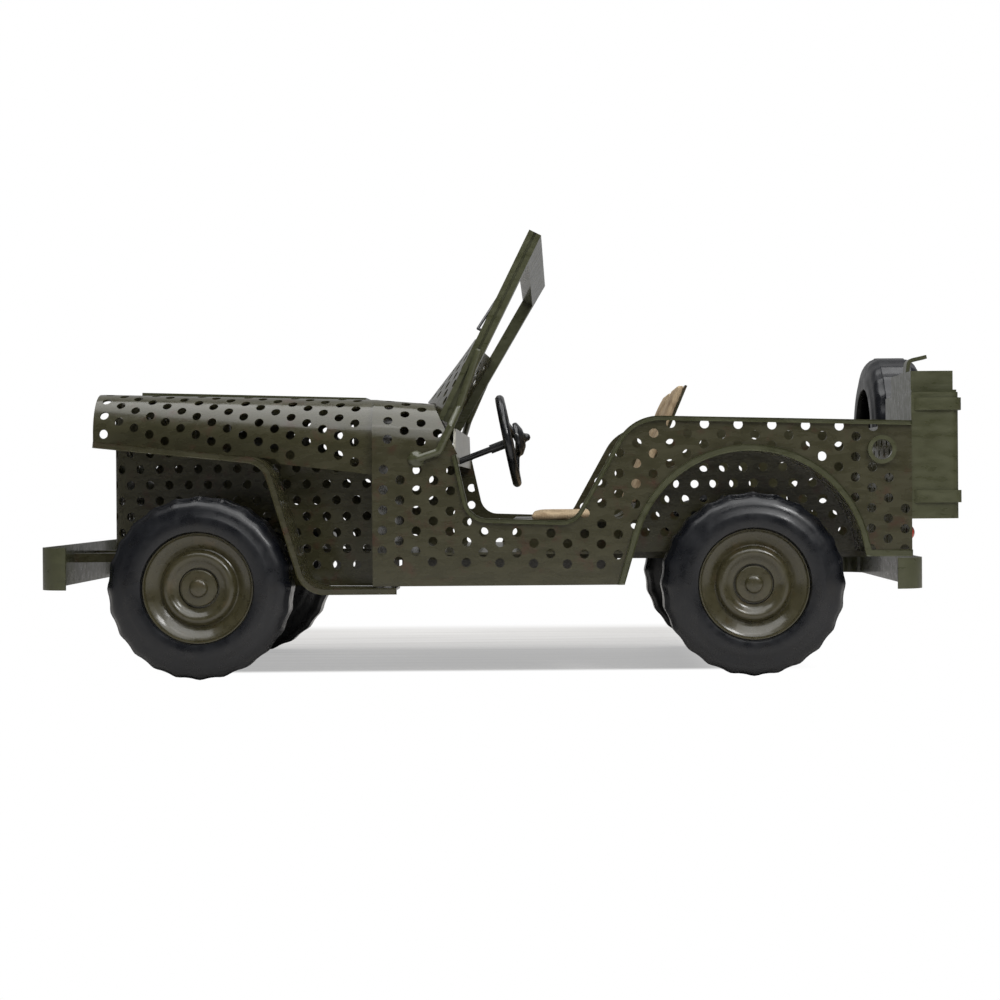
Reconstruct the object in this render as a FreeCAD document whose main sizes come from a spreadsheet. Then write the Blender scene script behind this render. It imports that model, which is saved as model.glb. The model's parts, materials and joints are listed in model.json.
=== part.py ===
"""Model of a small open army 4x4, made by hand from perforated sheet steel.

Frame: millimetres, +X is forward, +Y is the model's left, +Z is up.
The origin is on the floor, under the middle of the whole model's outline.
Every panel is thin sheet, the tub and the engine bay are open, and the
windscreen has no glass. The four road wheels turn on plain axle rods.
"""
import FreeCAD, Part
import math
import os

import Sketcher
from FreeCAD import Placement, Rotation, Vector

doc = FreeCAD.newDocument("ArmyCarModel")

# Driving dimensions
SIZES = {
    # Whole model
    "sheet_thickness": 0.8,
    "seam_gap": 0.3,
    "fit_clearance": 0.05,
    # Wheels and axles
    "tyre_diameter": 62.6,
    "tyre_chamfer": 2.6,
    "tyre_width": 21.0,
    "rim_diameter": 37.8,
    "wheel_proud": 2.1,
    "front_axle_x": 104.45,
    "wheelbase": 188.2,
    "axle_diameter": 5.0,
    "axle_end_gap": 0.3,
    "disc_plate": 3.0,
    "disc_face_inset": 1.8,
    "disc_depth": 15.0,
    "disc_lip_width": 1.3,
    "disc_dish_depth": 2.6,
    "disc_dish_radius": 13.4,
    "disc_valley_depth": 3.4,
    "disc_ridge_radius": 11.0,
    "disc_ridge_width": 3.8,
    "disc_ridge_height": 2.0,
    "hub_cap_radius": 6.2,
    "hub_cap_height": 1.5,
    "disc_ring_height": 0.9,
    "hub_boss_radius": 5.0,
    "hub_cover": 1.0,
    "hub_nut_radius": 2.9,
    "hub_nut_height": 1.2,
    "barrel_wall": 2.0,
    "collar_radius": 4.5,
    "collar_width": 3.0,
    # Tub
    "tub_half_width": 68.4,
    "seam_x": 45.3,
    "tub_rear_x": 137.2,
    "tub_top_z": 88.8,
    "tub_fall": 2.5,
    "tub_foot_z": 40.5,
    "cowl_foot_z": 76.0,
    "sill_z": 31.5,
    "floor_z": 42.0,
    "door_front_x": 16.8,
    "door_front_lean": 12.4,
    "door_sill_z": 53.3,
    "door_sill_rise": 1.2,
    "door_rear_x": 22.8,
    "door_rear_lean": 29.1,
    "door_corner_radius": 7.0,
    "door_shoulder_radius": 16.0,
    "arch_shift": 1.45,
    "arch_rise": 6.2,
    "arch_clearance": 7.7,
    "arch_front_angle": 16.5,
    "arch_rear_angle": 12.0,
    "tub_corner_radius": 2.0,
    "wheel_room": 1.9,
    "trim_width": 1.5,
    "lip_width": 2.2,
    "trim_height": 1.2,
    # Nose
    "hood_overhang": 5.0,
    "hood_front_half_width": 42.0,
    "hood_front_top_z": 99.8,
    "hood_front_radius": 14.5,
    "hood_front_foot_z": 81.6,
    "hood_rear_inset": 2.9,
    "hood_rear_top_z": 96.6,
    "hood_rear_radius": 18.0,
    "hood_rear_foot_z": 69.4,
    "roof_rise": 2.0,
    "hood_step": 3.2,
    "opening_size": 5.0,
    "opening_pitch": 11.0,
    "opening_high_drop": 8.0,
    "opening_low_drop": 19.0,
    "opening_margin": 3.0,
    "plate_setback": 13.05,
    "plate_rear_setback": 6.0,
    "plate_half_width": 20.0,
    "plate_height": 1.0,
    "cowl_top_z": 96.5,
    "cowl_fall": 3.7,
    "cowl_corner_radius": 16.0,
    "cowl_rear_x": 26.5,
    "cowl_rear_lean": 26.3,
    "bay_ahead": 36.05,
    "bay_front_inset": 36.4,
    "bay_rear_inset": 15.4,
    "bay_corner_radius": 6.0,
    "lamp_radius": 7.0,
    "lamp_depth": 4.0,
    "lamp_y": 18.5,
    "lamp_z": 70.0,
    "dash_x": 17.2,
    "dash_bottom_z": 72.5,
    "dash_top_z": 85.0,
    "dash_shoulder": 9.0,
    "dash_radius": 3.0,
    # Front fenders
    "fender_tip_ahead": 34.85,
    "fender_tip_rise": 6.1,
    "fender_clearance": 12.5,
    "fender_shoulder_behind": 23.65,
    "fender_foot_behind": 37.15,
    "fender_foot_z": 31.0,
    "fender_tail_x": 37.2,
    "fender_shoulder_radius": 10.0,
    "fender_foot_radius": 8.0,
    # Chassis
    "rail_y": 18.0,
    "rail_width": 5.0,
    "rail_height": 3.2,
    "crossmember_width": 6.0,
    "bracket_length": 9.0,
    "bracket_below": 4.0,
    "front_bumper_ahead": 17.85,
    "front_bumper_bottom_z": 31.0,
    "front_bumper_height": 14.4,
    "rear_bumper_behind": 4.4,
    "rear_bumper_bottom_z": 29.5,
    "rear_bumper_height": 10.5,
    "bumper_overhang": 1.8,
    "bumper_curl": 9.0,
    "bumper_curl_tail": 0.6,
    "bumper_sheet": 1.0,
    # Windscreen
    "screen_base_x": 19.3,
    "screen_base_z": 86.6,
    "screen_left_lean": 26.3,
    "screen_right_lean": 30.5,
    "screen_twist_rise": 21.0,
    "screen_height": 71.7,
    "screen_right_height": 68.5,
    "screen_inset": 8.4,
    "post_width": 4.5,
    "post_depth": 4.5,
    "top_rail_height": 10.0,
    "apron_inset": 3.8,
    "apron_foot_bow": 5.0,
    "apron_foot_rise": 10.0,
    "apron_top_z": 116.0,
    "apron_top_bow": 3.6,
    "apron_top_rise": 2.0,
    "hinge_rod_diameter": 2.7,
    "hinge_rod_top_z": 112.0,
    "hinge_rod_elbow_x": 16.2,
    "hinge_rod_elbow_z": 91.6,
    "hinge_rod_run": 2.3,
    "hinge_rod_drop": 6.2,
    "hinge_rod_knee_x": 22.6,
    "hinge_rod_knee_z": 76.9,
    "knob_radius": 3.4,
    "knob_height": 2.0,
    "knob_x": 30.3,
    "knob_z": 74.4,
    "wiper_diameter": 1.0,
    "wiper_y": 18.0,
    "wiper_foot_rise": 33.7,
    "wiper_standoff": 1.2,
    # Steering
    "steering_x": 0.2,
    "steering_y": 33.0,
    "steering_z": 81.2,
    "steering_tilt": 11.5,
    "column_tilt": 20.5,
    "steering_diameter": 33.4,
    "steering_grip": 3.2,
    "steering_hub_radius": 6.0,
    "steering_hub_rise": 3.3,
    "hub_dome_height": 1.7,
    "steering_hub_thickness": 1.6,
    "spoke_width": 3.0,
    "column_diameter": 2.2,
    "sleeve_diameter": 3.2,
    "sleeve_length": 8.0,
    "sleeve_offset": 0.4,
    "nut_radius": 1.5,
    # Seats
    "seat_y": 28.0,
    "seat_width": 37.0,
    "seat_front_x": 1.4,
    "seat_rear_x": 41.0,
    "seat_top_z": 55.5,
    "seat_back_lean": 23.0,
    "seat_back_length": 49.3,
    "seat_pad": 2.2,
    "seat_plate": 0.8,
    "seat_bend": 4.0,
    "seat_fold": 4.0,
    "seat_box_inset": 4.0,
    # Rear load
    "can_depth": 16.3,
    "can_side_inset": 0.4,
    "can_width": 52.0,
    "can_bottom_z": 53.1,
    "can_height": 42.8,
    "can_corner_radius": 3.0,
    "can_band_height": 4.2,
    "can_band_proud": 0.9,
    "can_low_band_z": 58.5,
    "can_high_band_z": 89.8,
    "can_lid_width": 40.0,
    "can_lid_height": 7.5,
    "can_lid_inset": 1.0,
    "can_flange_height": 1.0,
    "lever_width": 6.0,
    "lever_sheet": 1.3,
    "lever_inset": 1.8,
    "lever_rise": 4.0,
    "lever_rise_run": 1.2,
    "lever_reach": 5.8,
    "lever_lift": 1.3,
    "lever_bend": 1.5,
    "spare_gap": 0.15,
    "spare_y": 39.85,
    "spare_z": 83.0,
    "rear_lamp_radius": 2.8,
    "rear_lamp_depth": 2.3,
    "rear_lamp_y": 60.0,
    "rear_lamp_z": 48.3,
    "ring_x": 127.0,
    "ring_z": 76.6,
    "ring_radius": 4.8,
    "ring_bore_radius": 3.4,
    "ring_height": 1.8,
}

sheet = doc.addObject("Spreadsheet::Sheet", "Sizes")
for row, (alias, value) in enumerate(SIZES.items(), start=1):
    sheet.set(f"A{row}", alias)
    sheet.set(f"B{row}", str(value))
    sheet.setAlias(f"B{row}", alias)
doc.recompute()


def size(alias):
    """The sheet's value of one named size."""
    return float(sheet.get(alias))


def bind(item, **expressions):
    """Tie properties of an object to expressions of the sheet's sizes."""
    for name, expression in expressions.items():
        item.setExpression(name.replace("__", "."), expression)
    return item


def add_solid(label, shape, placement=None):
    """A sub-part whose shape was made from the sheet's sizes."""
    item = doc.addObject("Part::Feature", label)
    item.Label = label
    item.Shape = shape
    item.Placement = placement or Placement()
    return item


# Sheet-metal profiles in a plane, and how they become solids


def fillet_corner(before, corner, after, radius):
    """Ends, middle and tangent run of the arc that rounds one corner."""
    to_before = (before - corner).normalize()
    to_after = (after - corner).normalize()
    half_turn = to_before.getAngle(to_after) / 2
    run = radius / math.tan(half_turn)
    middle_way = (to_before + to_after).normalize()
    middle = corner + middle_way * (radius / math.sin(half_turn) - radius)
    return corner + to_before * run, middle, corner + to_after * run


def open_edges(points, radii):
    """Lines through the points, each inner corner rounded by its radius."""
    edges = []
    start = points[0]
    for index, radius in enumerate(radii, start=1):
        corner = points[index]
        if radius > 0:
            first, middle, last = fillet_corner(points[index - 1], corner, points[index + 1], radius)
            edges.append(Part.LineSegment(start, first).toShape())
            edges.append(Part.Arc(first, middle, last).toShape())
            start = last
        else:
            edges.append(Part.LineSegment(start, corner).toShape())
            start = corner
    edges.append(Part.LineSegment(start, points[-1]).toShape())
    return edges


def closed_wire(points, radii):
    """A closed outline through the points, each corner rounded by its radius."""
    middle_start = (points[0] + points[-1]) / 2
    edges = open_edges([middle_start] + points + [middle_start], radii)
    return Part.Wire(edges)


def offset_path(points, radii, normal, distance):
    """The same path, moved to its left, seen against the normal, by a distance."""
    moved = []
    moved_radii = []
    ways = [(after - before).normalize() for before, after in zip(points, points[1:])]
    sides = [normal.cross(way).normalize() for way in ways]
    moved.append(points[0] + sides[0] * distance)
    for index in range(1, len(points) - 1):
        first, second = sides[index - 1], sides[index]
        moved.append(points[index] + (first + second) * (distance / (1 + first.dot(second))))
        turns_left = ways[index - 1].cross(ways[index]).dot(normal) > 0
        change = -distance if turns_left else distance
        radius = radii[index - 1]
        moved_radii.append(max(radius + change, 0) if radius > 0 else 0)
    moved.append(points[-1] + sides[-1] * distance)
    return moved, moved_radii


def ribbon_face(points, radii, normal, first, second):
    """The flat strip between two offsets of one path."""
    one, one_radii = offset_path(points, radii, normal, first)
    two, two_radii = offset_path(points, radii, normal, second)
    edges = open_edges(one, one_radii)
    edges.append(Part.LineSegment(one[-1], two[-1]).toShape())
    edges += open_edges(two[::-1], two_radii[::-1])
    edges.append(Part.LineSegment(two[0], one[0]).toShape())
    return Part.Face(Part.Wire(edges))


def side_point(x, z, y=0.0):
    """A point of a profile that is seen from the side."""
    return Vector(x, y, z)


def box_between(low, high):
    """A box from its low corner to its high corner."""
    span = high - low
    return Part.makeBox(span.x, span.y, span.z, low)


def mirrored(shape):
    """The same shape on the other side of the model."""
    return shape.mirror(Vector(), Vector(0, 1, 0))


ARCH_STEPS = 6


def arch_points(outline, x, inset):
    """Corners of an arched section: two skirts, two round shoulders, one low crown."""
    half_width, top_z, rise, corner_radius, foot_z = outline
    outer_radius = (half_width**2 + rise**2) / (2 * rise)
    centre_z = top_z - outer_radius
    radius = outer_radius - inset
    corner = corner_radius - inset
    shoulder_y = half_width - corner_radius
    shoulder_z = centre_z + math.sqrt((outer_radius - corner_radius) ** 2 - shoulder_y**2)
    away = math.atan2(shoulder_y, shoulder_z - centre_z)
    points = [Vector(x, half_width - inset, foot_z)]
    for step in range(ARCH_STEPS + 1):
        turn = math.pi / 2 - (math.pi / 2 - away) * step / ARCH_STEPS
        points.append(Vector(x, shoulder_y + corner * math.sin(turn), shoulder_z + corner * math.cos(turn)))
    for step in range(1, ARCH_STEPS):
        turn = away - 2 * away * step / ARCH_STEPS
        points.append(Vector(x, radius * math.sin(turn), centre_z + radius * math.cos(turn)))
    return points + [Vector(x, -point.y, point.z) for point in points[ARCH_STEPS + 1 :: -1]]


def arch_wire(outline, x, inset):
    """The closed section of an arched body, moved in by an inset."""
    points = arch_points(outline, x, inset)
    return Part.makePolygon(points + points[:1])


def arch_body(rear_outline, rear_x, front_outline, front_x, inset=0.0):
    """Solid under an arch that changes from its rear to its front outline."""
    wires = [arch_wire(rear_outline, rear_x, inset), arch_wire(front_outline, front_x, inset)]
    return Part.makeLoft(wires, True, True)


def between_x(shape, low_x, high_x):
    """The part of a shape that lies between two cross planes."""
    return shape.common(
        box_between(Vector(low_x, -2 * overrun, -overrun), Vector(high_x, 2 * overrun, 4 * overrun))
    )


thickness = size("sheet_thickness")
gap = size("seam_gap")
fit = size("fit_clearance")
tub_half_width = size("tub_half_width")
tub_inner_y = tub_half_width - thickness
seam_x = size("seam_x")
floor_z = size("floor_z")
floor_top_z = floor_z + thickness
rear_x = -size("tub_rear_x")
overrun = size("tyre_diameter")
wheel_face = tub_half_width + size("wheel_proud")
front_axle_x = size("front_axle_x")
rear_axle_x = front_axle_x - size("wheelbase")
axle_z = size("tyre_diameter") / 2
axle_radius = size("axle_diameter") / 2
ACROSS = Vector(0, 1, 0)

# Wheelhouse arch, as a path over the rear wheel seen from the side
arch_centre = side_point(rear_axle_x + size("arch_shift"), axle_z + size("arch_rise"))
arch_radius = axle_z + size("arch_clearance")
front_angle = math.radians(size("arch_front_angle"))
rear_angle = math.radians(size("arch_rear_angle"))


def arch_leg_x(z, radius, front):
    """Where a straight leg of the arch passes a height."""
    angle = front_angle if front else rear_angle
    way = 1 if front else -1
    start_x = arch_centre.x + way * radius * math.cos(angle)
    start_z = arch_centre.z + radius * math.sin(angle)
    return start_x + way * (start_z - z) * math.tan(angle)


def arch_path(radius, front_foot_z, rear_foot_z):
    """Edges of the arch from its front foot over the wheel to its rear foot."""
    front_foot = side_point(arch_leg_x(front_foot_z, radius, True), front_foot_z)
    rear_foot = side_point(arch_leg_x(rear_foot_z, radius, False), rear_foot_z)
    front_touch = arch_centre + side_point(radius * math.cos(front_angle), radius * math.sin(front_angle))
    rear_touch = arch_centre + side_point(-radius * math.cos(rear_angle), radius * math.sin(rear_angle))
    crown = arch_centre + side_point(0, radius)
    return [
        Part.LineSegment(front_foot, front_touch).toShape(),
        Part.Arc(front_touch, crown, rear_touch).toShape(),
        Part.LineSegment(rear_touch, rear_foot).toShape(),
    ]


def arch_band(inner, outer, front_foot_z, rear_foot_z):
    """The flat strip between two radii of the arch."""
    low = arch_path(inner, front_foot_z, rear_foot_z)
    high = arch_path(outer, front_foot_z, rear_foot_z)
    front_end = Part.LineSegment(low[0].firstVertex().Point, high[0].firstVertex().Point).toShape()
    rear_end = Part.LineSegment(low[-1].lastVertex().Point, high[-1].lastVertex().Point).toShape()
    return Part.Face(Part.Wire(Part.__sortEdges__(low + high + [front_end, rear_end])))


def arch_area(radius, front_foot_z, rear_foot_z):
    """The whole area under the arch."""
    edges = arch_path(radius, front_foot_z, rear_foot_z)
    foot = Part.LineSegment(edges[-1].lastVertex().Point, edges[0].firstVertex().Point).toShape()
    return Part.Face(Part.Wire(Part.__sortEdges__(edges + [foot])))


# Tub: side panels with door cut-outs, trims, rear panel, floor and wheelhouses


tub_rear_z = size("tub_top_z") - size("tub_fall")
tub_foot_z = size("tub_foot_z")


def door_corners():
    """Corners of the door cut-out and of the tub's top edge, front to rear."""
    front_sill_z = size("door_sill_z") + size("door_sill_rise")
    drop = size("cowl_foot_z") - front_sill_z
    rise = size("tub_top_z") - size("door_sill_z")
    front_foot_x = size("door_front_x") - drop * math.tan(math.radians(size("door_front_lean")))
    rear_shoulder_x = -size("door_rear_x") - rise * math.tan(math.radians(size("door_rear_lean")))
    return [
        side_point(size("door_front_x"), size("cowl_foot_z")),
        side_point(front_foot_x, front_sill_z),
        side_point(-size("door_rear_x"), size("door_sill_z")),
        side_point(rear_shoulder_x, size("tub_top_z")),
        side_point(rear_x, tub_rear_z),
    ]


DOOR_RADII = [size("door_corner_radius"), size("door_corner_radius"), size("door_shoulder_radius")]


def side_panel_shape():
    """Left side of the tub: one flat sheet with the door and the wheel arch cut out."""
    corners = door_corners()
    tub_corner = size("tub_corner_radius")
    outline = [side_point(seam_x, size("sill_z")), side_point(seam_x, size("cowl_foot_z"))]
    outline += corners + [side_point(rear_x, tub_foot_z)]
    radii = [0, 0, 0] + DOOR_RADII + [tub_corner, 0]
    foot_x = arch_leg_x(size("sill_z"), arch_radius, True)
    rear_foot_x = arch_leg_x(tub_foot_z, arch_radius, False)
    outline += [side_point(rear_foot_x, tub_foot_z), side_point(foot_x, size("sill_z"))]
    radii += [0, 0]
    panel = Part.Face(closed_wire(outline, radii))
    panel = panel.cut(arch_area(arch_radius, size("sill_z") - overrun, tub_foot_z - overrun))
    hole = Part.makeCircle(
        size("ring_bore_radius"), side_point(-size("ring_x"), size("ring_z")), ACROSS
    )
    panel = panel.cut(Part.Face(Part.Wire([hole])))
    panel.translate(Vector(0, tub_inner_y, 0))
    return panel.extrude(Vector(0, thickness, 0))


def panel_trim_shape():
    """Wire trim on the door and top edge, and the lip of the wheel arch and bottom edge."""
    trim = ribbon_face(door_corners(), DOOR_RADII, ACROSS, 0, -size("trim_width"))
    lip = arch_band(arch_radius, arch_radius + size("lip_width"), size("sill_z"), tub_foot_z)
    high_z = tub_foot_z + size("lip_width")
    hem = [
        side_point(rear_x, tub_foot_z),
        side_point(arch_leg_x(tub_foot_z, arch_radius, False), tub_foot_z),
        side_point(arch_leg_x(high_z, arch_radius, False), high_z),
        side_point(rear_x, high_z),
    ]
    lip = lip.fuse(Part.Face(closed_wire(hem, [0, 0, 0, 0]))).removeSplitter()
    pieces = []
    for face in (trim, lip):
        face.translate(Vector(0, tub_half_width, 0))
        pieces.append(face.extrude(Vector(0, size("trim_height"), 0)))
    return Part.makeCompound(pieces)


wall_y = wheel_face - size("tyre_width") - size("wheel_room")


def wheelhouse_shape():
    """Curved sheet over a rear wheel with the flat wall inside it."""
    band = arch_band(arch_radius, arch_radius + thickness, size("sill_z"), floor_z)
    band.translate(Vector(0, wall_y, 0))
    band = band.extrude(Vector(0, tub_inner_y - wall_y, 0))
    wall = arch_area(arch_radius + thickness, floor_z, floor_z)
    wall.translate(Vector(0, wall_y - thickness, 0))
    wall = wall.extrude(Vector(0, thickness, 0))
    return band.fuse(wall).removeSplitter()


def floor_shape():
    """Flat floor that narrows between the wheelhouses."""
    slope = thickness / math.cos(front_angle)
    front_edge = arch_leg_x(floor_z, arch_radius, True) + slope + gap
    rear_slope = thickness / math.cos(rear_angle)
    rear_edge = arch_leg_x(floor_top_z, arch_radius, False) - rear_slope - gap
    wide = box_between(
        Vector(rear_x + thickness, -tub_inner_y, floor_z), Vector(seam_x, tub_inner_y, floor_top_z)
    )
    wheel_room_y = wall_y - thickness
    for side in (1, -1):
        low_y, high_y = sorted((side * wheel_room_y, side * tub_half_width))
        wide = wide.cut(
            box_between(
                Vector(rear_edge, low_y, floor_z - thickness),
                Vector(front_edge, high_y, floor_top_z + thickness),
            )
        )
    return wide


def rear_panel_shape():
    """Flat sheet across the back of the tub."""
    return box_between(
        Vector(rear_x, -tub_inner_y, floor_z), Vector(rear_x + thickness, tub_inner_y, tub_rear_z)
    )


def side_ring_shape():
    """Short tube around the hole near the top rear corner of a side."""
    centre = side_point(-size("ring_x"), size("ring_z"), tub_half_width)
    outer = Part.makeCylinder(size("ring_radius"), size("ring_height"), centre, ACROSS)
    bore = Part.makeCylinder(size("ring_bore_radius"), size("ring_height"), centre, ACROSS)
    return outer.cut(bore)


# Nose: hood, its raised plate, cowl, firewall, engine bay, headlamps and dashboard

lamp_ring_share = 0.7
lamp_glass_share = 0.85

bay_front_x = front_axle_x + size("bay_ahead")
bay_front_half = tub_half_width - size("bay_front_inset")
hood_front_x = bay_front_x + size("hood_overhang")
hood_rear_x = seam_x + gap
fender_top_z = 2 * axle_z + size("fender_clearance")
fender_shoulder_x = front_axle_x - size("fender_shoulder_behind")
fender_tip_x = front_axle_x + size("fender_tip_ahead")
roof_rise = size("roof_rise")
HOOD_FRONT = (
    size("hood_front_half_width"),
    size("hood_front_top_z"),
    roof_rise,
    size("hood_front_radius"),
    size("hood_front_foot_z"),
)
HOOD_REAR = (
    tub_half_width - size("hood_rear_inset"),
    size("hood_rear_top_z"),
    roof_rise,
    size("hood_rear_radius"),
    size("hood_rear_foot_z"),
)
COWL_FRONT = (
    tub_half_width,
    size("cowl_top_z"),
    roof_rise,
    size("cowl_corner_radius"),
    floor_top_z,
)
COWL_REAR = (COWL_FRONT[0], size("cowl_top_z") - size("cowl_fall")) + COWL_FRONT[2:]


def fender_top(x):
    """Height of a fender's sloping top at a place along the model."""
    share = (x - fender_shoulder_x) / (fender_tip_x - fender_shoulder_x)
    return fender_top_z + size("fender_tip_rise") * share


def hood_openings():
    """Plain grid of square openings, which stands for the punched pattern of the hood."""
    side, pitch, margin = size("opening_size"), size("opening_pitch"), size("opening_margin")
    length = hood_front_x - hood_rear_x
    columns = int((length - side) / pitch)
    first_x = hood_rear_x + (length - (columns - 1) * pitch - side) / 2
    tools = []
    for column in range(columns):
        x = first_x + column * pitch
        share = (x - hood_rear_x) / length
        half_width, top_z, _, corner, foot_z = (a + (b - a) * share for a, b in zip(HOOD_REAR, HOOD_FRONT))
        y = size("plate_half_width") + margin
        while y + side < half_width - corner + 2 * margin:
            for low_y in (y, -y - side):
                tools.append(box_between(Vector(x, low_y, foot_z), Vector(x + side, low_y + side, top_z + margin)))
            y += pitch
        for drop in (size("opening_high_drop"), size("opening_low_drop")):
            low_z = top_z - drop - side / 2
            if low_z > foot_z + margin:
                reach = half_width + margin
                tools.append(box_between(Vector(x, -reach, low_z), Vector(x + side, reach, low_z + side)))
    return tools


def hood_shape():
    """Arched sheet that widens to the rear and stands on the fenders."""
    hood = arch_body(HOOD_REAR, hood_rear_x, HOOD_FRONT, hood_front_x)
    room = arch_body(HOOD_REAR, hood_rear_x, HOOD_FRONT, hood_front_x, thickness)
    hood = hood.cut(room)
    step_x = fender_shoulder_x - size("hood_step")
    below = [
        side_point(step_x, -overrun, -2 * overrun),
        side_point(step_x, fender_top(step_x) + gap, -2 * overrun),
        side_point(hood_front_x + thickness, fender_top(hood_front_x + thickness) + gap, -2 * overrun),
        side_point(hood_front_x + thickness, -overrun, -2 * overrun),
    ]
    hood = hood.cut(Part.Face(closed_wire(below, [0, 0, 0, 0])).extrude(Vector(0, 4 * overrun, 0)))
    return hood.cut(hood_openings())


def hood_plate_shape():
    """Thin sheet laid on the crown of the hood."""
    front_x = hood_front_x - size("plate_setback")
    raised = arch_body(HOOD_REAR, hood_rear_x, HOOD_FRONT, hood_front_x, -size("plate_height"))
    raised = raised.cut(arch_body(HOOD_REAR, hood_rear_x, HOOD_FRONT, hood_front_x))
    half = size("plate_half_width")
    middle = box_between(
        Vector(hood_rear_x + size("plate_rear_setback"), -half, size("hood_rear_foot_z")),
        Vector(front_x, half, size("hood_front_top_z") + overrun),
    )
    return raised.common(middle)


def cowl_sheet(clearance=0.0):
    """Full-width arch behind the hood with its slanted rear edge, or the room around it."""
    cowl = arch_body(COWL_REAR, 0, COWL_FRONT, seam_x, -clearance).cut(
        arch_body(COWL_REAR, 0, COWL_FRONT, seam_x, thickness + clearance)
    )
    edge = side_point(size("cowl_rear_x") - clearance, size("cowl_top_z"))
    slant = Rotation(ACROSS, size("cowl_rear_lean"))
    reach = 2 * overrun
    behind = Part.makeBox(2 * reach, 2 * reach, 2 * reach, Vector(-2 * reach, -reach, -reach))
    behind.Placement = Placement(edge, slant)
    foot_z = size("cowl_foot_z") - clearance
    below = box_between(Vector(-overrun, -2 * overrun, -overrun), Vector(2 * overrun, 2 * overrun, foot_z))
    return cowl.cut(behind).cut(below)


def firewall_shape():
    """Flat sheet that closes the front of the tub under the cowl."""
    room = arch_body(COWL_REAR, 0, COWL_FRONT, seam_x, thickness)
    return between_x(room, seam_x - thickness, seam_x)


def bay_corners(z):
    """Plan corners of the engine bay, from the rear left to the rear right."""
    front, rear = bay_front_half, tub_half_width - size("bay_rear_inset")
    return [
        Vector(seam_x, rear, z),
        Vector(bay_front_x, front, z),
        Vector(bay_front_x, -front, z),
        Vector(seam_x, -rear, z),
    ]


def lamp_base(side, x):
    """Middle of one headlamp at a place along the model."""
    return Vector(x, side * size("lamp_y"), size("lamp_z"))


def bay_shape():
    """U-shaped sheet around the engine bay, its top cut to the hood's inside."""
    corner = size("bay_corner_radius")
    face = ribbon_face(bay_corners(size("sill_z")), [corner, corner], Vector(0, 0, 1), 0, -thickness)
    wall = face.extrude(Vector(0, 0, size("hood_front_top_z") - size("sill_z")))
    under = arch_body(
        HOOD_REAR[:-1] + (0,), seam_x, HOOD_FRONT[:-1] + (0,), hood_front_x, thickness + gap
    )
    wall = between_x(wall.common(under), seam_x, hood_front_x)
    for side in (1, -1):
        wall = wall.cut(rail_box(side, gap))
        opening = size("lamp_radius") * lamp_glass_share + fit
        wall = wall.cut(
            Part.makeCylinder(opening, overrun, lamp_base(side, bay_front_x - overrun / 2), Vector(1, 0, 0))
        )
    rod = Part.makeCylinder(axle_radius + gap, 2 * wheel_face, side_point(front_axle_x, axle_z, -wheel_face), ACROSS)
    return wall.cut(rod)


def headlamps_shape():
    """Two plain round lamps behind the nose, their domed faces level with it."""
    lamps = []
    for side in (1, -1):
        ring_depth = size("lamp_depth") * lamp_ring_share
        back_x = bay_front_x - thickness - ring_depth
        ring = Part.makeCylinder(size("lamp_radius"), ring_depth, lamp_base(side, back_x), Vector(1, 0, 0))
        dome_height = size("lamp_depth") - ring_depth
        glass_radius = size("lamp_radius") * lamp_glass_share
        dome_radius = (glass_radius**2 + dome_height**2) / (2 * dome_height)
        ball = Part.makeSphere(dome_radius, lamp_base(side, bay_front_x - dome_radius))
        front = Part.makeCylinder(
            glass_radius, size("lamp_depth"), lamp_base(side, bay_front_x - thickness), Vector(1, 0, 0)
        )
        lamps.append(ring.fuse(ball.common(front)).removeSplitter())
    return Part.makeCompound(lamps)


def dashboard_shape():
    """Flat plate across the tub behind the cowl's edge."""
    low_z, high_z = size("dash_bottom_z"), size("dash_top_z")
    outline = [
        Vector(size("dash_x"), -tub_inner_y, low_z),
        Vector(size("dash_x"), tub_inner_y, low_z),
        Vector(size("dash_x"), tub_inner_y, size("cowl_foot_z")),
        Vector(size("dash_x"), tub_inner_y - size("dash_shoulder"), high_z),
        Vector(size("dash_x"), -tub_inner_y + size("dash_shoulder"), high_z),
        Vector(size("dash_x"), -tub_inner_y, size("cowl_foot_z")),
    ]
    face = Part.Face(closed_wire(outline, [0, 0, 0, size("dash_radius"), size("dash_radius"), 0]))
    return face.extrude(Vector(thickness, 0, 0))


# Front fenders


def fender_shape():
    """Left fender: one bent strip, with a double lip along its outer edge."""
    path = [
        side_point(fender_tip_x, fender_top(fender_tip_x)),
        side_point(fender_shoulder_x, fender_top_z),
        side_point(front_axle_x - size("fender_foot_behind"), size("fender_foot_z")),
        side_point(size("fender_tail_x"), size("fender_foot_z")),
    ]
    radii = [size("fender_shoulder_radius"), size("fender_foot_radius")]
    inner_y = bay_front_half
    outer_y = tub_half_width + size("trim_height")
    strip = ribbon_face(path, radii, ACROSS, 0, -thickness)
    strip.translate(Vector(0, inner_y, 0))
    strip = strip.extrude(Vector(0, outer_y - inner_y, 0))
    corners = bay_corners(-overrun)
    tail_half = corners[0].y
    bay_room = Part.Face(
        closed_wire([Vector(-overrun, tail_half, -overrun)] + corners + [Vector(-overrun, -tail_half, -overrun)], [0] * 6)
    )
    strip = strip.cut(bay_room.extrude(Vector(0, 0, 4 * overrun)))
    lip = ribbon_face(path, radii, ACROSS, 0, -size("lip_width"))
    lip.translate(Vector(0, outer_y - size("trim_height"), 0))
    lip = lip.extrude(Vector(0, size("trim_height"), 0))
    return strip.fuse(lip).removeSplitter()


# Chassis: rails with crossmembers and axle brackets, axle rods, bumpers

front_bumper_x = bay_front_x + size("front_bumper_ahead")
rear_bumper_x = rear_x - size("rear_bumper_behind")
rail_front_x = front_bumper_x - size("bumper_sheet")
rail_rear_x = rear_bumper_x + size("bumper_sheet")


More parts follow.
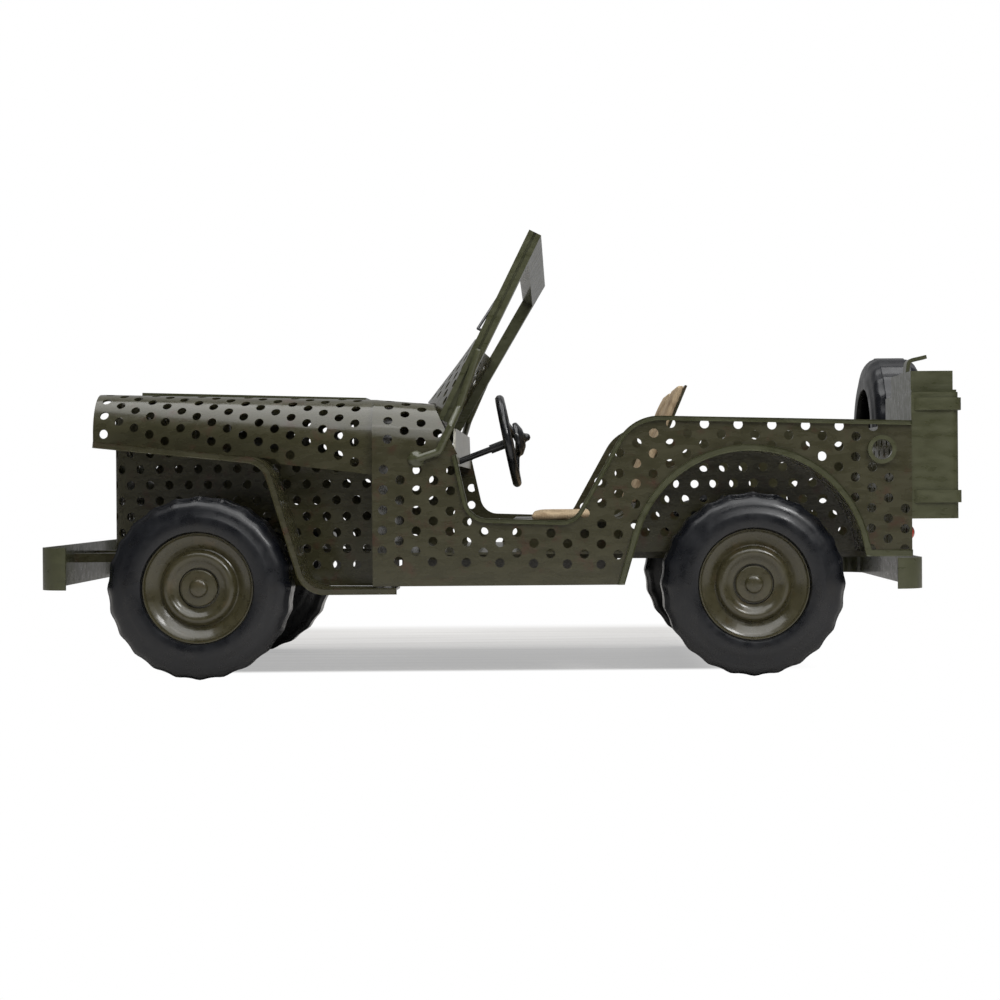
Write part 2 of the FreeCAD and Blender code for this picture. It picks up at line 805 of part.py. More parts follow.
def rail_box(side, clearance=0.0):
    """One chassis rail, or the room around it."""
    middle_y = side * size("rail_y")
    half = size("rail_width") / 2 + clearance
    low = Vector(rail_rear_x, middle_y - half, floor_z - size("rail_height") - clearance)
    high = Vector(rail_front_x, middle_y + half, floor_z + clearance)
    return box_between(low, high)


def chassis_shape():
    """Two rails and the crossmembers between them."""
    frame = rail_box(1).fuse(rail_box(-1))
    reach = size("rail_y")
    half = size("crossmember_width") / 2
    low_z = floor_z - size("rail_height")
    rear_cross_x = rail_rear_x + half
    pieces = []
    for x in (bay_front_x - 2 * half, front_axle_x, seam_x, 0, rear_axle_x, rear_cross_x):
        pieces.append(box_between(Vector(x - half, -reach, low_z), Vector(x + half, reach, floor_z)))
    return frame.multiFuse(pieces).removeSplitter()


def axle_brackets_shape():
    """Four bored blocks under the rails, which hold the axle rods."""
    blocks = []
    half_length = size("bracket_length") / 2
    half_width = size("rail_width") / 2
    for x in (front_axle_x, rear_axle_x):
        bore = Part.makeCylinder(axle_radius + fit, 2 * wheel_face, Vector(x, -wheel_face, axle_z), ACROSS)
        for side in (1, -1):
            middle_y = side * size("rail_y")
            low = Vector(x - half_length, middle_y - half_width, axle_z - size("bracket_below"))
            high = Vector(x + half_length, middle_y + half_width, floor_z - size("rail_height"))
            blocks.append(box_between(low, high).cut(bore))
    return Part.makeCompound(blocks)


def bumper_shape(outer_x, bottom_z, height):
    """A flat strip across the model, both ends curled towards the tub."""
    inward = -1 if outer_x > 0 else 1
    half_width = tub_half_width + size("bumper_overhang")
    curl = size("bumper_curl")
    end_x = outer_x + inward * (curl + size("bumper_curl_tail"))
    path = [
        Vector(end_x, -half_width, bottom_z),
        Vector(outer_x, -half_width, bottom_z),
        Vector(outer_x, half_width, bottom_z),
        Vector(end_x, half_width, bottom_z),
    ]
    face = ribbon_face(path, [curl, curl], Vector(0, 0, 1), 0, -inward * size("bumper_sheet"))
    return face.extrude(Vector(0, 0, height))


# Places along the axle, as expressions of the sheet
WHEEL_FACE = "(Sizes.tub_half_width + Sizes.wheel_proud)"
DISC_FACE = f"({WHEEL_FACE} - Sizes.disc_face_inset)"
PLATE = f"({DISC_FACE} - Sizes.disc_valley_depth)"


def add_axle(label, x):
    """Axle rod with a collar inside each wheel."""
    end_y = f"({PLATE} - Sizes.hub_cover - Sizes.axle_end_gap)"
    rod = doc.addObject("Part::Cylinder", f"{label}_rod")
    bind(rod, Radius="Sizes.axle_diameter / 2", Height=f"2 * {end_y}")
    collars = []
    for side in (1, -1):
        collar = doc.addObject("Part::Cylinder", f"{label}_collar")
        bind(collar, Radius="Sizes.collar_radius", Height="Sizes.collar_width")
        wheel_side = f"{DISC_FACE} - Sizes.disc_depth - Sizes.seam_gap"
        offset = f"{end_y} + ({wheel_side})"
        other = f"{end_y} - ({wheel_side})"
        if side == 1:
            bind(collar, Placement__Base__z=f"{offset} - Sizes.collar_width")
        else:
            bind(collar, Placement__Base__z=other)
        collars.append(collar)
    axle = doc.addObject("Part::MultiFuse", label)
    axle.Label = label
    axle.Shapes = [rod] + collars
    axle.Placement = Placement(Vector(), Rotation(Vector(1, 0, 0), -90))
    bind(axle, Placement__Base__x=x, Placement__Base__y=f"-{end_y}", Placement__Base__z="Sizes.tyre_diameter / 2")
    return axle


# Wheels: a lobed tyre and a turned disc

TYRE_LOBES = 24


def sheet_value(expression):
    """The number that an expression of the sheet gives."""
    return float(sheet.evalExpression(expression))


def origin_plane(body, role):
    """One of the body's own origin planes or axes."""
    return next(item for item in body.Origin.OriginFeatures if item.Role == role)


def turned_body(label, corners):
    """A body revolved about its own Y axis from corners given as radius and offset."""
    body = doc.addObject("PartDesign::Body", label)
    body.Label = label
    sketch = body.newObject("Sketcher::SketchObject", f"{label}_profile")
    sketch.AttachmentSupport = (origin_plane(body, "XY_Plane"), [""])
    sketch.MapMode = "FlatFace"
    points = [Vector(sheet_value(across), sheet_value(along), 0) for across, along in corners]
    count = len(points)
    for index, point in enumerate(points):
        sketch.addGeometry(Part.LineSegment(point, points[(index + 1) % count]), False)
    for index in range(count):
        sketch.addConstraint(Sketcher.Constraint("Coincident", index, 2, (index + 1) % count, 1))
    for index, (across, along) in enumerate(corners):
        if across == "0":
            sketch.addConstraint(Sketcher.Constraint("PointOnObject", index, 1, -2))
        else:
            place = sketch.addConstraint(Sketcher.Constraint("DistanceX", -1, 1, index, 1, points[index].x))
            sketch.setExpression(f"Constraints[{place}]", across)
        place = sketch.addConstraint(Sketcher.Constraint("DistanceY", -1, 1, index, 1, points[index].y))
        sketch.setExpression(f"Constraints[{place}]", along)
    turn = body.newObject("PartDesign::Revolution", f"{label}_turn")
    turn.Profile = sketch
    turn.ReferenceAxis = (sketch, ["V_Axis"])
    turn.Angle = 360
    doc.recompute()
    return body


def add_tyre(label):
    """Tyre: a thick ring with flat lobes on its tread and chamfered shoulders."""
    body = doc.addObject("PartDesign::Body", label)
    body.Label = label
    face = WHEEL_FACE
    block = body.newObject("PartDesign::AdditivePrism", f"{label}_block")
    block.Polygon = TYRE_LOBES
    block.Placement = Placement(Vector(), Rotation(Vector(1, 0, 0), 90))
    bind(block, Circumradius="Sizes.tyre_diameter / 2", Height="Sizes.tyre_width", Placement__Base__y=face)
    doc.recompute()
    edges = [
        f"Edge{number}"
        for number, edge in enumerate(block.Shape.Edges, start=1)
        if abs(edge.firstVertex().Y - edge.lastVertex().Y) < fit
    ]
    shoulder = body.newObject("PartDesign::Chamfer", f"{label}_shoulder")
    shoulder.Base = (block, edges)
    shoulder.setExpression("Size", "Sizes.tyre_chamfer")
    doc.recompute()
    opening = body.newObject("PartDesign::SubtractiveCylinder", f"{label}_opening")
    opening.Placement = Placement(Vector(), Rotation(Vector(1, 0, 0), 90))
    bind(
        opening,
        Radius="Sizes.rim_diameter / 2 + Sizes.fit_clearance",
        Height="Sizes.tyre_width",
        Placement__Base__y=face,
    )
    doc.recompute()
    return body


def add_disc(label):
    """Wheel disc: a barrel with a lip, a dished and ringed plate, a hub cap and a blind hub."""
    face = DISC_FACE
    plate = PLATE
    back = f"({face} - Sizes.disc_depth)"
    rim = "Sizes.rim_diameter / 2"
    lip_in = f"{rim} - Sizes.disc_lip_width"
    ridge_in = "Sizes.disc_ridge_radius - Sizes.disc_ridge_width / 2"
    ridge_out = "Sizes.disc_ridge_radius + Sizes.disc_ridge_width / 2"
    ridge_top = f"{plate} + Sizes.disc_ridge_height"
    ring_top = f"{plate} + Sizes.disc_ring_height"
    cap_top = f"{plate} + Sizes.hub_cap_height"
    nut_top = f"{cap_top} + Sizes.hub_nut_height"
    bore = "Sizes.axle_diameter / 2 + Sizes.fit_clearance"
    corners = [
        ("0", f"{plate} - Sizes.hub_cover"),
        (bore, f"{plate} - Sizes.hub_cover"),
        (bore, back),
        ("Sizes.hub_boss_radius", back),
        ("Sizes.hub_boss_radius", f"{plate} - Sizes.disc_plate"),
        (f"{rim} - Sizes.barrel_wall", f"{plate} - Sizes.disc_plate"),
        (f"{rim} - Sizes.barrel_wall", back),
        (rim, back),
        (rim, face),
        (lip_in, face),
        (lip_in, f"{face} - Sizes.disc_lip_width"),
        ("Sizes.disc_dish_radius", f"{face} - Sizes.disc_dish_depth"),
        ("Sizes.disc_dish_radius", plate),
        (ridge_out, plate),
        (ridge_out, ridge_top),
        (ridge_in, ridge_top),
        (ridge_in, ring_top),
        ("Sizes.hub_cap_radius", ring_top),
        ("Sizes.hub_cap_radius", cap_top),
        ("Sizes.hub_nut_radius", cap_top),
        ("Sizes.hub_nut_radius", nut_top),
        ("0", nut_top),
    ]
    return turned_body(label, corners)


SPARE_FACE = "(Sizes.tub_rear_x + Sizes.spare_gap + Sizes.tyre_width)"
WHEELS = (
    ("front_left", "Sizes.front_axle_x", "0", "Sizes.tyre_diameter / 2", 0),
    ("front_right", "Sizes.front_axle_x", "0", "Sizes.tyre_diameter / 2", 180),
    ("rear_left", "Sizes.front_axle_x - Sizes.wheelbase", "0", "Sizes.tyre_diameter / 2", 0),
    ("rear_right", "Sizes.front_axle_x - Sizes.wheelbase", "0", "Sizes.tyre_diameter / 2", 180),
    ("spare", f"{WHEEL_FACE} - {SPARE_FACE}", "-Sizes.spare_y", "Sizes.spare_z", 90),
)


# Windscreen: twisted frame, bowed apron, hinge rods with knobs, wiper arm

screen_half_width = tub_half_width - size("screen_inset")
left_lean = math.radians(size("screen_left_lean"))
right_lean = math.radians(size("screen_right_lean"))
twist_rise = size("screen_twist_rise")
right_base_shift = twist_rise * (math.tan(right_lean) - math.tan(left_lean))


def screen_point(y, up_share, up_offset, out):
    """A point of the frame at a place across it, up along it and out of its back face."""
    ends = []
    for lean, height, shift in (
        (left_lean, size("screen_height"), 0),
        (right_lean, size("screen_right_height"), right_base_shift),
    ):
        up = up_share * height + up_offset
        x = size("screen_base_x") + shift - up * math.sin(lean) + out * math.cos(lean)
        z = size("screen_base_z") + up * math.cos(lean) + out * math.sin(lean)
        ends.append(Vector(x, y, z))
    share = (screen_half_width - y) / (2 * screen_half_width)
    return ends[0] * (1 - share) + ends[1] * share


def screen_bar(first_y, second_y, low, high):
    """A flat bar of the frame between two places across it."""
    depth = size("post_depth")
    wires = []
    for y in (first_y, second_y):
        corners = [
            screen_point(y, *low, 0),
            screen_point(y, *low, depth),
            screen_point(y, *high, depth),
            screen_point(y, *high, 0),
        ]
        wires.append(Part.makePolygon(corners + corners[:1]))
    return Part.makeLoft(wires, True, True)


def screen_frame_shape():
    """Two posts that lean a little differently and a deep top rail between them."""
    outer = screen_half_width
    inner = screen_half_width - size("post_width")
    foot, top = (0, 0), (1, 0)
    rail_foot = (1, -size("top_rail_height"))
    left = screen_bar(outer, inner, foot, top)
    right = screen_bar(-inner, -outer, foot, top)
    rail = screen_bar(inner, -inner, rail_foot, top)
    frame = left.multiFuse([rail, right]).removeSplitter()
    return frame.cut(cowl_sheet(gap))


def screen_back_x(z, y):
    """The back face of the frame at a height and a place across it."""
    low, high = screen_point(y, 0, 0, 0), screen_point(y, 1, 0, 0)
    return low.x + (high.x - low.x) * (z - low.z) / (high.z - low.z)


def apron_shape():
    """Bowed sheet between the cowl and the opening, ruled between two arcs."""
    half_width = screen_half_width - size("post_width")
    edges = []
    for z, bow, rise in (
        (size("screen_base_z"), size("apron_foot_bow"), size("apron_foot_rise")),
        (size("apron_top_z"), size("apron_top_bow"), size("apron_top_rise")),
    ):
        ends = [Vector(screen_back_x(z, y) + size("apron_inset"), y, z) for y in (-half_width, half_width)]
        middle = (ends[0] + ends[1]) / 2 + side_point(bow, rise)
        edges.append(Part.Arc(ends[0], middle, ends[1]).toShape())
    apron = Part.makeRuledSurface(*edges).extrude(Vector(thickness, 0, 0))
    apron = apron.cut(cowl_sheet(gap))
    return max(apron.Solids, key=lambda solid: solid.Volume)


def bent_rod(points, radius):
    """A round rod along straight runs, with round elbows."""
    pieces = []
    for start, end in zip(points, points[1:]):
        pieces.append(Part.makeCylinder(radius, (end - start).Length, start, end - start))
    for elbow in points[1:-1]:
        pieces.append(Part.makeSphere(radius, elbow))
    return pieces[0].multiFuse(pieces[1:]).removeSplitter()


def hinge_rod_shape(side):
    """Bent rod down the outer face of a post and on to a knob on the tub's side."""
    radius = size("hinge_rod_diameter") / 2
    post_y = screen_half_width + radius
    side_y = tub_half_width + fit + radius
    knob_x, knob_z = size("knob_x"), size("knob_z")
    head_z, elbow_z = size("hinge_rod_top_z"), size("hinge_rod_elbow_z")
    post_x = screen_back_x(head_z, side * screen_half_width)
    elbow_x = size("hinge_rod_elbow_x")
    elbow_x += screen_back_x(elbow_z, side * screen_half_width) - screen_back_x(elbow_z, screen_half_width)
    path = [
        Vector(post_x + size("post_depth") / 2, post_y, head_z),
        Vector(elbow_x, post_y, elbow_z),
        Vector(elbow_x + size("hinge_rod_run"), side_y, elbow_z - size("hinge_rod_drop")),
        Vector(size("hinge_rod_knee_x"), side_y, size("hinge_rod_knee_z")),
        Vector(knob_x, side_y, knob_z),
    ]
    rod = bent_rod(path, radius)
    height = size("knob_height")
    ball = size("knob_radius")
    knob = Part.makeSphere(ball, Vector(knob_x, tub_half_width + height - ball, knob_z))
    outside = Part.makeCylinder(2 * ball, height, Vector(knob_x, tub_half_width, knob_z), ACROSS)
    rod = rod.fuse(knob.common(outside)).removeSplitter()
    return rod if side > 0 else mirrored(rod)


def wiper_shape():
    """Thin arm from the left post up to the top rail, in front of the opening."""
    radius = size("wiper_diameter") / 2
    depth = size("post_depth")
    out = depth + size("wiper_standoff")
    post_y = screen_half_width - size("post_width") / 2
    low = (0, size("wiper_foot_rise"))
    high = (1, -size("top_rail_height") / 2)
    foot, start = screen_point(post_y, *low, depth), screen_point(post_y, *low, out)
    head, end = screen_point(size("wiper_y"), *high, depth), screen_point(size("wiper_y"), *high, out)
    return bent_rod([foot, start, end, head], radius)


# Steering: the wheel's axis and the column's own slope

SPOKE_COUNT = 3
GRIP_SIDES = 8
STEERING = Placement(
    Vector(-size("steering_x"), size("steering_y"), size("steering_z")),
    Rotation(ACROSS, 90 + size("steering_tilt")),
)
COLUMN = Placement(
    STEERING.multVec(Vector(0, 0, -size("steering_hub_rise"))),
    Rotation(ACROSS, 90 + size("column_tilt")),
)


def steering_column_shape():
    """Rod from the hub to the dashboard, with a thicker sleeve near the hub."""
    dash_run = (size("dash_x") - COLUMN.Base.x) / math.cos(math.radians(size("column_tilt")))
    start = size("steering_hub_thickness") + gap
    rod = Part.makeCylinder(size("column_diameter") / 2, dash_run - start + size("column_diameter"), Vector(0, 0, start))
    sleeve = Part.makeCylinder(size("sleeve_diameter") / 2, size("sleeve_length"), Vector(0, 0, start + size("sleeve_offset")))
    column = rod.fuse(sleeve).removeSplitter()
    column.Placement = COLUMN
    ahead = box_between(
        Vector(size("dash_x"), 0, 0), Vector(size("dash_x") + overrun, 2 * overrun, 2 * overrun)
    )
    return column.cut(ahead)


def steering_wheel_shape():
    """Round grip, three spokes that run back to a domed hub, and a ball nut."""
    grip = size("steering_grip") / 2
    ring_radius = size("steering_diameter") / 2 - grip
    half = size("steering_hub_thickness") / 2
    rise = size("steering_hub_rise")
    corners = []
    for index in range(GRIP_SIDES):
        turn = (index + 1 / 2) * 2 * math.pi / GRIP_SIDES
        reach = grip / math.cos(math.pi / GRIP_SIDES)
        corners.append(Vector(ring_radius + reach * math.cos(turn), 0, reach * math.sin(turn)))
    section = Part.Face(Part.makePolygon(corners + corners[:1]))
    ring = section.revolve(Vector(), Vector(0, 0, 1), 360)
    pieces = [ring]
    slope = math.degrees(math.atan2(rise, ring_radius))
    for turn in range(SPOKE_COUNT):
        spoke = box_between(
            Vector(0, -size("spoke_width") / 2, -half), Vector(ring_radius, size("spoke_width") / 2, half)
        )
        spoke.rotate(Vector(), Vector(0, 1, 0), -slope)
        spoke.translate(Vector(0, 0, -rise))
        spoke.rotate(Vector(), Vector(0, 0, 1), turn * 360 / SPOKE_COUNT)
        pieces.append(spoke)
    hub_radius = size("steering_hub_radius")
    dome = Part.makeCone(
        hub_radius, hub_radius / 2, size("hub_dome_height"), Vector(0, 0, -rise - half), Vector(0, 0, -1)
    )
    nut = Part.makeSphere(size("nut_radius"), Vector(0, 0, -rise - half - size("hub_dome_height") - size("nut_radius") / 2))
    hub = Part.makeCylinder(hub_radius, 2 * half, Vector(0, 0, -rise - half))
    return hub.multiFuse([dome, nut] + pieces)


# Seats: bent metal frames that stand on the floor, and canvas pads


def seat_path():
    """The bent line of one seat, from the front edge to the top of the back."""
    top_z = size("seat_top_z")
    lean = math.radians(size("seat_back_lean"))
    rear = side_point(-size("seat_rear_x"), top_z)
    head = rear + side_point(-size("seat_back_length") * math.sin(lean), size("seat_back_length") * math.cos(lean))
    return [side_point(-size("seat_front_x"), top_z), rear, head]


def seat_frame_shape():
    """Bent plate under the pads on a box that stands on the floor."""
    path = seat_path()
    pad = size("seat_pad")
    low_y = size("seat_y") - size("seat_width") / 2
    plate = ribbon_face(path, [size("seat_bend")], ACROSS, -pad, -pad - size("seat_plate"))
    plate.translate(Vector(0, low_y, 0))
    plate = plate.extrude(Vector(0, size("seat_width"), 0))
    inset = size("seat_box_inset")
    stand = box_between(
        Vector(-size("seat_rear_x") + inset, low_y + inset, floor_top_z),
        Vector(-size("seat_front_x") - inset, low_y + size("seat_width") - inset, size("seat_top_z") - pad),
    )
    return plate.fuse(stand.cut(plate)).removeSplitter()


def seat_pads_shape():
    """One base pad and one back pad, with the fold between them left open."""
    front, rear, head = seat_path()
    low_y = size("seat_y") - size("seat_width") / 2
    fold = size("seat_fold")
    pads = []
    for start, end in ((front, rear + (front - rear).normalize() * fold), (rear + (head - rear).normalize() * fold, head)):
        face = ribbon_face([start, end], [], ACROSS, 0, -size("seat_pad"))
        face.translate(Vector(0, low_y, 0))
        pads.append(face.extrude(Vector(0, size("seat_width"), 0)))
    return Part.makeCompound(pads)


# Rear load: jerrycan, spare wheel carrier, lamps


can_outer_y = tub_half_width - size("can_side_inset")
can_inner_y = can_outer_y - size("can_width")


def can_block(inset, low_z, high_z):
    """A block of the can's plan between two heights, larger by a negative inset."""
    low = Vector(rear_x - size("can_depth") + inset, can_inner_y + inset, low_z)
    high = Vector(rear_x, can_outer_y - inset, high_z)
    block = box_between(low, high)
    upright = [
        edge
        for edge in block.Edges
        if edge.firstVertex().X < rear_x - inset and edge.lastVertex().X < rear_x - inset
        and abs(edge.firstVertex().Z - edge.lastVertex().Z) > thickness
    ]
    return block.makeFillet(size("can_corner_radius"), upright)


def jerrycan_shape():
    """Flat can against the rear panel, with two raised bands."""
    bottom_z = size("can_bottom_z")
    body = can_block(0, bottom_z, bottom_z + size("can_height"))
    bands = []
    for low_z in (size("can_low_band_z"), size("can_high_band_z")):
        bands.append(can_block(-size("can_band_proud"), low_z, low_z + size("can_band_height")))
    return body.multiFuse(bands).removeSplitter()


def can_lid_shape():
    """Flange and lid on the can, with the bent strip lever over it."""
    base_z = size("can_bottom_z") + size("can_height")
    middle_y = can_outer_y - size("can_width") / 2
    half = size("can_lid_width") / 2
    inset = size("can_lid_inset")
    front_x, back_x = rear_x - inset, rear_x - size("can_depth") + inset
    flange_z = base_z + size("can_flange_height")
    top_z = base_z + size("can_lid_height")
    flange = box_between(
        Vector(back_x - inset, middle_y - half - inset, base_z), Vector(front_x, middle_y + half + inset, flange_z)
    )
    lid = box_between(Vector(back_x, middle_y - half, flange_z), Vector(front_x, middle_y + half, top_z))
    foot = side_point(front_x - size("lever_inset"), flange_z)
    knee = side_point(foot.x - size("lever_rise_run"), top_z + size("lever_rise"))
    tip = knee + side_point(-size("lever_reach"), size("lever_lift"))
    strip = ribbon_face([foot, knee, tip], [size("lever_bend")], ACROSS, 0, size("lever_sheet"))
    strip.translate(Vector(0, middle_y - size("lever_width") / 2, 0))
    below = box_between(
        Vector(back_x, middle_y - half, base_z), Vector(front_x + overrun, middle_y + half, top_z)
    )
    strip = strip.extrude(Vector(0, size("lever_width"), 0)).cut(below)
    return lid.multiFuse([flange, strip]).removeSplitter()


def spare_carrier_shape():
    """Stub rod that carries the spare wheel behind the rear panel."""
    plate_inset = size("disc_face_inset") + size("disc_valley_depth") + size("hub_cover")
    reach = size("spare_gap") + size("tyre_width") - plate_inset - size("axle_end_gap")
    base = Vector(rear_x, -size("spare_y"), size("spare_z"))
    return Part.makeCylinder(axle_radius, reach, base, Vector(-1, 0, 0))


def rear_lamps_shape():
    """Two small domed lamps on the rear panel."""
    height = size("rear_lamp_depth")
    radius = size("rear_lamp_radius")
    ball_radius = (radius**2 + height**2) / (2 * height)
    lamps = []
    for side in (1, -1):
        base = Vector(rear_x, side * size("rear_lamp_y"), size("rear_lamp_z"))
        ball = Part.makeSphere(ball_radius, base + Vector(ball_radius - height, 0, 0))
        room = Part.makeCylinder(radius, height, base, Vector(-1, 0, 0))
        lamps.append(ball.common(room))
    return Part.makeCompound(lamps)


# The whole model

for label, shape in (
    ("hood", hood_shape()),
    ("hood_plate", hood_plate_shape()),
    ("cowl", cowl_sheet()),
    ("firewall", firewall_shape()),
    ("dashboard", dashboard_shape()),
    ("engine_bay", bay_shape()),
    ("headlamps", headlamps_shape()),
    ("floor_pan", floor_shape()),
    ("rear_panel", rear_panel_shape()),
    ("chassis_frame", chassis_shape()),
    ("axle_brackets", axle_brackets_shape()),
    ("windscreen_apron", apron_shape()),
    ("steering_column", steering_column_shape()),
    ("jerrycan", jerrycan_shape()),
    ("jerrycan_lid", can_lid_shape()),
    ("spare_carrier", spare_carrier_shape()),
    ("rear_lamps", rear_lamps_shape()),
):
    add_solid(label, shape)

add_solid("windscreen_frame", screen_frame_shape())
add_solid("wiper_arm", wiper_shape())
add_solid("hinge_rod_left", hinge_rod_shape(1))
add_solid("hinge_rod_right", hinge_rod_shape(-1))
add_solid("steering_wheel", steering_wheel_shape(), STEERING)

for label, maker in (
    ("side_panel", side_panel_shape),
    ("panel_trim", panel_trim_shape),
    ("wheelhouse", wheelhouse_shape),
    ("side_ring", side_ring_shape),
    ("fender", fender_shape),
    ("seat_frame", seat_frame_shape),
    ("seat_pads", seat_pads_shape),
):
    shape = maker()
    add_solid(f"{label}_left", shape)
    add_solid(f"{label}_right", mirrored(shape))

add_solid(
    "front_bumper",
    bumper_shape(front_bumper_x, size("front_bumper_bottom_z"), size("front_bumper_height")),
)
add_solid(
    "rear_bumper",
    bumper_shape(rear_bumper_x, size("rear_bumper_bottom_z"), size("rear_bumper_height")),
)
add_axle("front_axle", "Sizes.front_axle_x")
add_axle("rear_axle", "Sizes.front_axle_x - Sizes.wheelbase")

for label, x, y, z, turn in WHEELS:
    for body in (add_tyre(f"tyre_{label}"), add_disc(f"disc_{label}")):
        body.Placement = Placement(Vector(), Rotation(Vector(0, 0, 1), turn))
        bind(body, Placement__Base__x=x, Placement__Base__y=y, Placement__Base__z=z)
doc.recompute()

# Checks, then one STEP file for each sub-part

for item in doc.Objects:
    if "Invalid" in item.State or "Error" in item.State:
        raise ValueError(f"{item.Name} did not compute: {item.State}")

consumed = set()
for item in doc.Objects:
    if item.TypeId == "Part::MultiFuse":
        consumed.update(shape.Name for shape in item.Shapes)
sub_parts = [
    item
    for item in doc.Objects
    if item.TypeId in ("Part::Feature", "PartDesign::Body", "Part::MultiFuse")
    and item.Name not in consumed
]
os.makedirs("parts", exist_ok=True)
for item in sub_parts:
    if item.Shape.isNull() or not item.Shape.isValid() or not item.Shape.Solids:
        raise ValueError(f"{item.Label} has no valid solid")
for item in sub_parts:
    item.Shape.exportStep(f"parts/{item.Label}.step")

whole = FreeCAD.BoundBox()
for item in sub_parts:
    whole.add(item.Shape.optimalBoundingBox(False))
print(f"{len(sub_parts)} sub-parts, x {whole.XMin:.3f} to {whole.XMax:.3f},")
print(f"y {whole.YMin:.3f} to {whole.YMax:.3f}, z {whole.ZMin:.3f} to {whole.ZMax:.3f}")
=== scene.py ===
"""Looks of a small open army 4x4 model, made by hand from perforated sheet steel.

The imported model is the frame: +X is forward, +Y is the model's left, +Z is up.
The sheets get their punched holes here, the tyres their lobes and the seats
their canvas, and every metal surface gets its paint.
"""

import json
import math
from contextlib import contextmanager

import bpy
from bpy.props import FloatProperty, FloatVectorProperty, IntProperty, PointerProperty
from mathutils import Matrix, Vector


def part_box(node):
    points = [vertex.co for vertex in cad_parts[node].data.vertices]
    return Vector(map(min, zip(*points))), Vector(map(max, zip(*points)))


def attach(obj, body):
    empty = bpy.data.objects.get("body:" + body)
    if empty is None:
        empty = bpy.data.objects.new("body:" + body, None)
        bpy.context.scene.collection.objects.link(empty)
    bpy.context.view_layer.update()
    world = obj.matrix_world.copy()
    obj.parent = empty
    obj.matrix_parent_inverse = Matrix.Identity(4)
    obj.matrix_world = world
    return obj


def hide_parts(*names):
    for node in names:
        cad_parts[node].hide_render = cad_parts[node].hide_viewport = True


bl_info = {
    "name": "Punched-Sheet Model Car",
    "version": (1, 0, 0),
    "blender": (4, 5, 0),
    "location": "View3D > Sidebar > Model Car",
    "description": "Punches the sheets, shapes the tyres and pads and paints a model army car",
    "category": "Object",
}

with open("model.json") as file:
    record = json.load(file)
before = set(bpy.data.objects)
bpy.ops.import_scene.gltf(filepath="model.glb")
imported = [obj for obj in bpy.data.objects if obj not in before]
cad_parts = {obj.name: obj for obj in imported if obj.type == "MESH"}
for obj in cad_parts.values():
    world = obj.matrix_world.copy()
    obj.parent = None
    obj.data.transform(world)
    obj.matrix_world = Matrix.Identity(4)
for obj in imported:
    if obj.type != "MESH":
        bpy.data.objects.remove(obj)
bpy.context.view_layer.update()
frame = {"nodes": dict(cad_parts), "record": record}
MM = 0.001
SHEET = 0.8 * MM
WELD = 0.001 * MM
SIDES = (("left", 1), ("right", -1))
# Faces that meet at less than these angles look smooth: on sheets, on cloth and on rods
SHEET_ANGLE, CLOTH_ANGLE, ROD_ANGLE = (math.radians(degrees) for degrees in (35, 60, 70))


def linear(code):
    """Linear red, green and blue of an sRGB hex colour."""
    channels = [int(code[place : place + 2], 16) / 255 for place in (1, 3, 5)]
    return [c / 12.92 if c <= 0.04045 else ((c + 0.055) / 1.055) ** 2.4 for c in channels]


def number(name, description, value, unit="NONE"):
    """A number that the user may change."""
    return FloatProperty(name=name, description=description, default=value, unit=unit, precision=5)


def length(name, description, millimetres):
    """A size that the user may change."""
    return number(name, description, millimetres * MM, "LENGTH")


def count(name, description, value, low, high):
    """A whole number that the user may change within limits."""
    return IntProperty(name=name, description=description, default=value, min=low, max=high)


def colour(name, description, code):
    """A colour that the user may change."""
    return FloatVectorProperty(
        name=name, description=description, default=linear(code), size=3, subtype="COLOR", min=0, max=1
    )


class SheetSettings(bpy.types.PropertyGroup):
    """Sizes of the punched sheet."""

    hole_diameter: length("Hole diameter", "Width of one punched hole", 3.2)
    hole_pitch: length("Hole pitch", "Distance of two holes in the same row", 11.25)
    row_pitch: length("Row pitch", "Distance of a row from the next one", 3.44)
    cut_depth: length("Cut depth", "Reach of the punch to each side", 2.0)
    margin: length("Margin", "Least width of sheet round a hole", 0.6)
    hole_sides: count("Hole sides", "Flat faces round one hole", 14, 6, 32)


class TyreSettings(bpy.types.PropertyGroup):
    """Sizes of the painted metal tyres."""

    lobe_count: count("Lobes", "Pressed lobes round the tread", 24, 8, 60)
    lobe_depth: length("Lobe depth", "Dip of the tread between two lobes", 0.55)
    shoulder: length("Shoulder", "Radius at which the dips start", 28.5)
    tread: length("Tread", "Radius from which the dips are full", 30.5)


class PaintSettings(bpy.types.PropertyGroup):
    """Colours of the paints and the canvas."""

    body: colour("Body", "Brownish olive paint on the punched sheets", "#3C3A26")
    body_primer: colour("Primer", "Red-brown primer that shows through worn paint", "#46291F")
    trim: colour("Trim", "Olive paint on the can, bumpers and edge strips", "#45472F")
    tyre: colour("Tyre", "Blue-black paint on the metal tyres", "#111318")
    disc: colour("Disc", "Olive-brown paint on the turned discs", "#403C27")
    canvas: colour("Canvas", "Tan canvas of the seat pads", "#B7A283")
    lamp_red: colour("Lamp red", "Red paint of the rear lamps", "#C8402A")
    black: colour("Black", "Black paint on rods and the steering wheel", "#101216")
    pale: colour("Pale", "Worn pale paint of the dashboard", "#A8A598")


